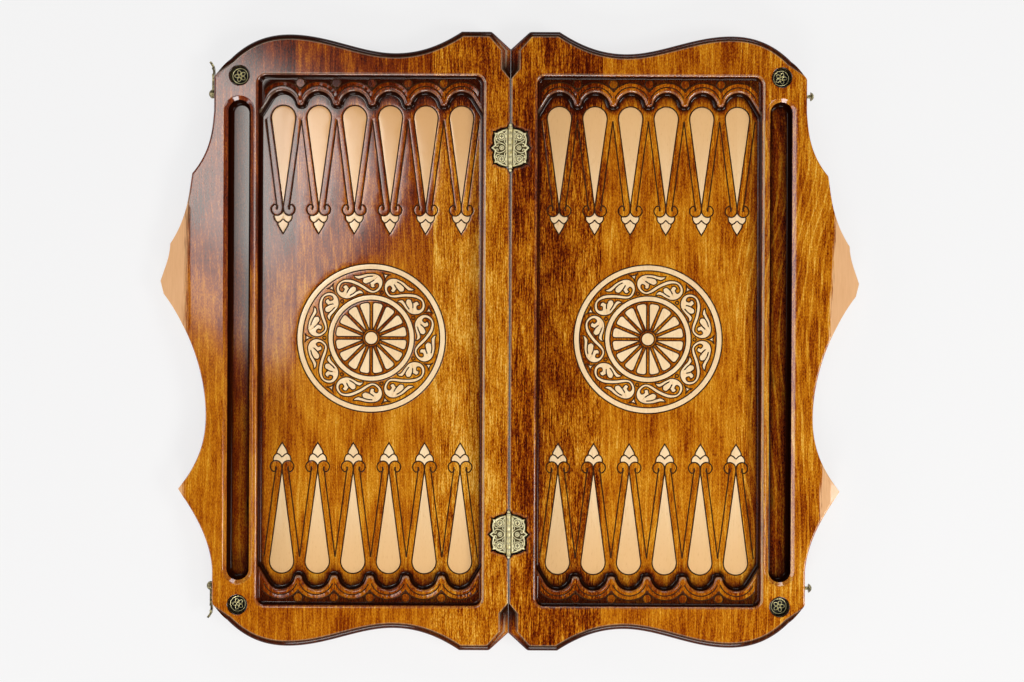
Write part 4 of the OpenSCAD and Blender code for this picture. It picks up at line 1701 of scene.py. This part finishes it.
def leafPattern():
    # the raised border, and the scrolls and rosette inside it
    h = hinge
    inner, reach = h["innerBorder"]
    border = [[p for p in leafEdge(-h["inset"]) if p[0] > inner + 0.2], [(inner, -reach), (inner, reach)]]
    middle, outerRing, innerRing = h["rosette"]
    fine = [ring(middle, 0, outerRing, 0.6), ring(middle, 0, innerRing, 0.4), smooth(leafTip)]
    for end in (1, -1):
        fine.append(ring(h["screw"][0], end * h["screw"][1], h["boss"]))
        fine += [[(u, end * v) for u, v in smooth(path, 0.6)] for path in leafScrolls]
    return border, fine


def knuckleProfile(half):
    # a short barrel with a bead at each end
    r = hinge["barrel"]
    return mirrored([(along - half, r - inwards, tone) for along, inwards, tone in knuckleBead])


def makeLeaf(level, half):
    h = hinge
    sign = halves[half]
    first = 0 if half == "right" else 1
    middle = rows[level] * h["middle"]
    border, fine = leafPattern()
    borderLines, fineStrokes = NearLines(border, 1.2), NearLines(fine, 1.2)

    def at(u, v, z):
        return (sign * u, middle + v, z)

    def risen(u, v):
        return max(dome(borderLines.distance(u, v), h["border"], h["rise"]),
                   dome(fineStrokes.distance(u, v), h["stroke"], 0.8 * h["rise"]))

    def tarnish(u, v):
        foot = min(abs(borderLines.distance(u, v) - h["border"]),
                   abs(fineStrokes.distance(u, v) - h["stroke"]))
        return max(0.45 + 0.5 * fade(foot, 0.25) - 2.2 * risen(u, v), 0.0)

    leaf = Form()
    lines = strokes(border, h["border"]) + strokes(fine, h["stroke"])
    leaf.relief(leafLoop(first), lines, lambda u, v: h["ground"] + risen(u, v), tarnish, h["floor"], at)
    pitch = h["length"] / h["knuckles"]
    for k in range(first, h["knuckles"], 2):
        along = (k + 0.5) * pitch - h["length"] / 2
        profile = knuckleProfile((pitch - h["gap"]) / 2)
        leaf.turned([(along + v, r, t) for v, r, t in profile], lambda v, u, z: at(u, v, h["axis"] + z))
    leaf.made("cast", paleBrass, level + "_hinge_" + half + "_leaf", half)


def makeHingePin(level):
    h = hinge
    ball = [(-h["finialAt"] + h["finial"] * cos(radians(a)), h["finial"] * sin(radians(a)), 0.1)
            for a in (178, 160, 140, 120, 100, 80, 60, 45)]
    run, radius = h["neck"]
    neck = [(-h["length"] / 2 - run, radius, 0.6), (-h["length"] / 2, h["pin"], 0.8)]
    middle = rows[level] * h["middle"]
    pin = Form()
    pin.turned(mirrored(ball + neck), lambda v, u, z: (u, middle + v, h["axis"] + z), 20)
    pin.made("turned", paleBrass, level + "_hinge_pin", "right")


screwHead = {"radius": 2.7, "base": 29.0, "top": 29.8, "crown": 0.35, "shank": 1.1,
             "arm": 1.75, "slot": 0.42, "deep": 0.45, "wall": 0.12,
             "rings": (0.9, 1.9, 2.4), "point": (1.5, 0.15)}


def makeScrews(level, half):
    s = screwHead
    node = level + "_hinge_" + half + "_screws"
    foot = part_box(node)[0][2] / mm

    def fromCross(u, v):
        u, v = abs(u), abs(v)
        return min(max(u - s["arm"], v - s["slot"]), max(v - s["arm"], u - s["slot"]))

    def height(u, v):
        cut = clamped(-fromCross(u, v) / s["wall"])
        return s["top"] - s["crown"] * (hypot(u, v) / s["radius"]) ** 2 - s["deep"] * cut

    def tarnish(u, v):
        return 1.0 if fromCross(u, v) < -0.5 * s["wall"] else 0.25 * (hypot(u, v) / s["radius"]) ** 4

    def cross(w, a):
        quarter = [(a, w), (w, w), (w, a)]
        loop = []
        for turn in range(4):
            loop += turnedBy(quarter, turn * pi / 2)
        return closed(loop)

    screws = Form()
    for end in (1, -1):
        cx = halves[half] * hinge["screw"][0]
        cy = rows[level] * hinge["middle"] + end * hinge["screw"][1]
        lines = [ring(0, 0, r, 0.5) for r in s["rings"]]
        lines += [cross(s["slot"], s["arm"]), cross(s["slot"] - s["wall"], s["arm"] - s["wall"])]
        screws.relief(ring(0, 0, s["radius"], 0.5), lines, height, tarnish, s["base"],
                      lambda u, v, z: (cx + u, cy + v, z))
        run, tip = s["point"]
        shank = [(s["base"] + 0.1, s["shank"], 0.8), (foot + run, s["shank"], 0.8), (foot, tip, 0.8)]
        screws.turned(shank, lambda z, u, v: (cx + u, cy + v, z), 16)
    screws.made("turned", paleBrass, node, half)


# Corner buttons

button = {"place": buttonHole["place"], "radius": 9.2, "bottom": buttonHole["floor"], "ground": 23.0,
          "rim": 8.55, "rimTop": 24.0, "rimRun": 0.2, "edgeRound": 0.3,
          "ring": 7.3, "stroke": 0.48, "rise": 0.75, "petals": 5,
          "petal": [(1.0, 0), (3.4, 1.7), (5.6, 0), (3.4, -1.7), (1.0, 0)]}


def makeButton(level, half):
    b = button
    row, sign = rows[level], halves[half]
    petal = smooth(b["petal"], 0.6)
    pattern = [ring(0, 0, b["ring"])]
    for k in range(b["petals"]):
        pattern.append(turnedBy(petal, 2 * pi * k / b["petals"]))
    near = NearLines(pattern, 1.2)

    def height(u, v):
        rim = clamped((hypot(u, v) - b["rim"]) / b["rimRun"])
        edge = roundDrop(b["radius"] - hypot(u, v), b["edgeRound"])
        raised = max(dome(near.distance(u, v), b["stroke"], b["rise"]), rim * (b["rimTop"] - b["ground"]))
        return b["ground"] + raised - edge

    def tarnish(u, v):
        if hypot(u, v) > b["rim"]:
            return 0.55
        return max(0.0, 1.0 - 2.4 * dome(near.distance(u, v), b["stroke"], b["rise"]))

    disc = Form()
    lines = strokes(pattern, b["stroke"])
    lines += [ring(0, 0, r) for r in (b["rim"], b["rim"] + b["rimRun"],
                                      b["radius"] - b["edgeRound"], b["radius"] - 0.4 * b["edgeRound"])]
    disc.relief(ring(0, 0, b["radius"]), lines, height, tarnish, b["bottom"],
                lambda u, v, z: (sign * (b["place"][0] + u), row * (b["place"][1] + v), z))
    disc.made("cast", darkBrass, level + "_" + half + "_button", half)


for level in rows:
    makeHingePin(level)
    for half in halves:
        makeLeaf(level, half)
        makeScrews(level, half)
        makeButton(level, half)
print("hinges and buttons: done")


# The latches keep their own solids

latch = [node for name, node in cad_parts.items() if "hook" in name or "catch" in name]
for node in latch:
    node.data.materials.clear()
    node.data.materials.append(latchBrass)
print("latches:", len(latch), "pieces")
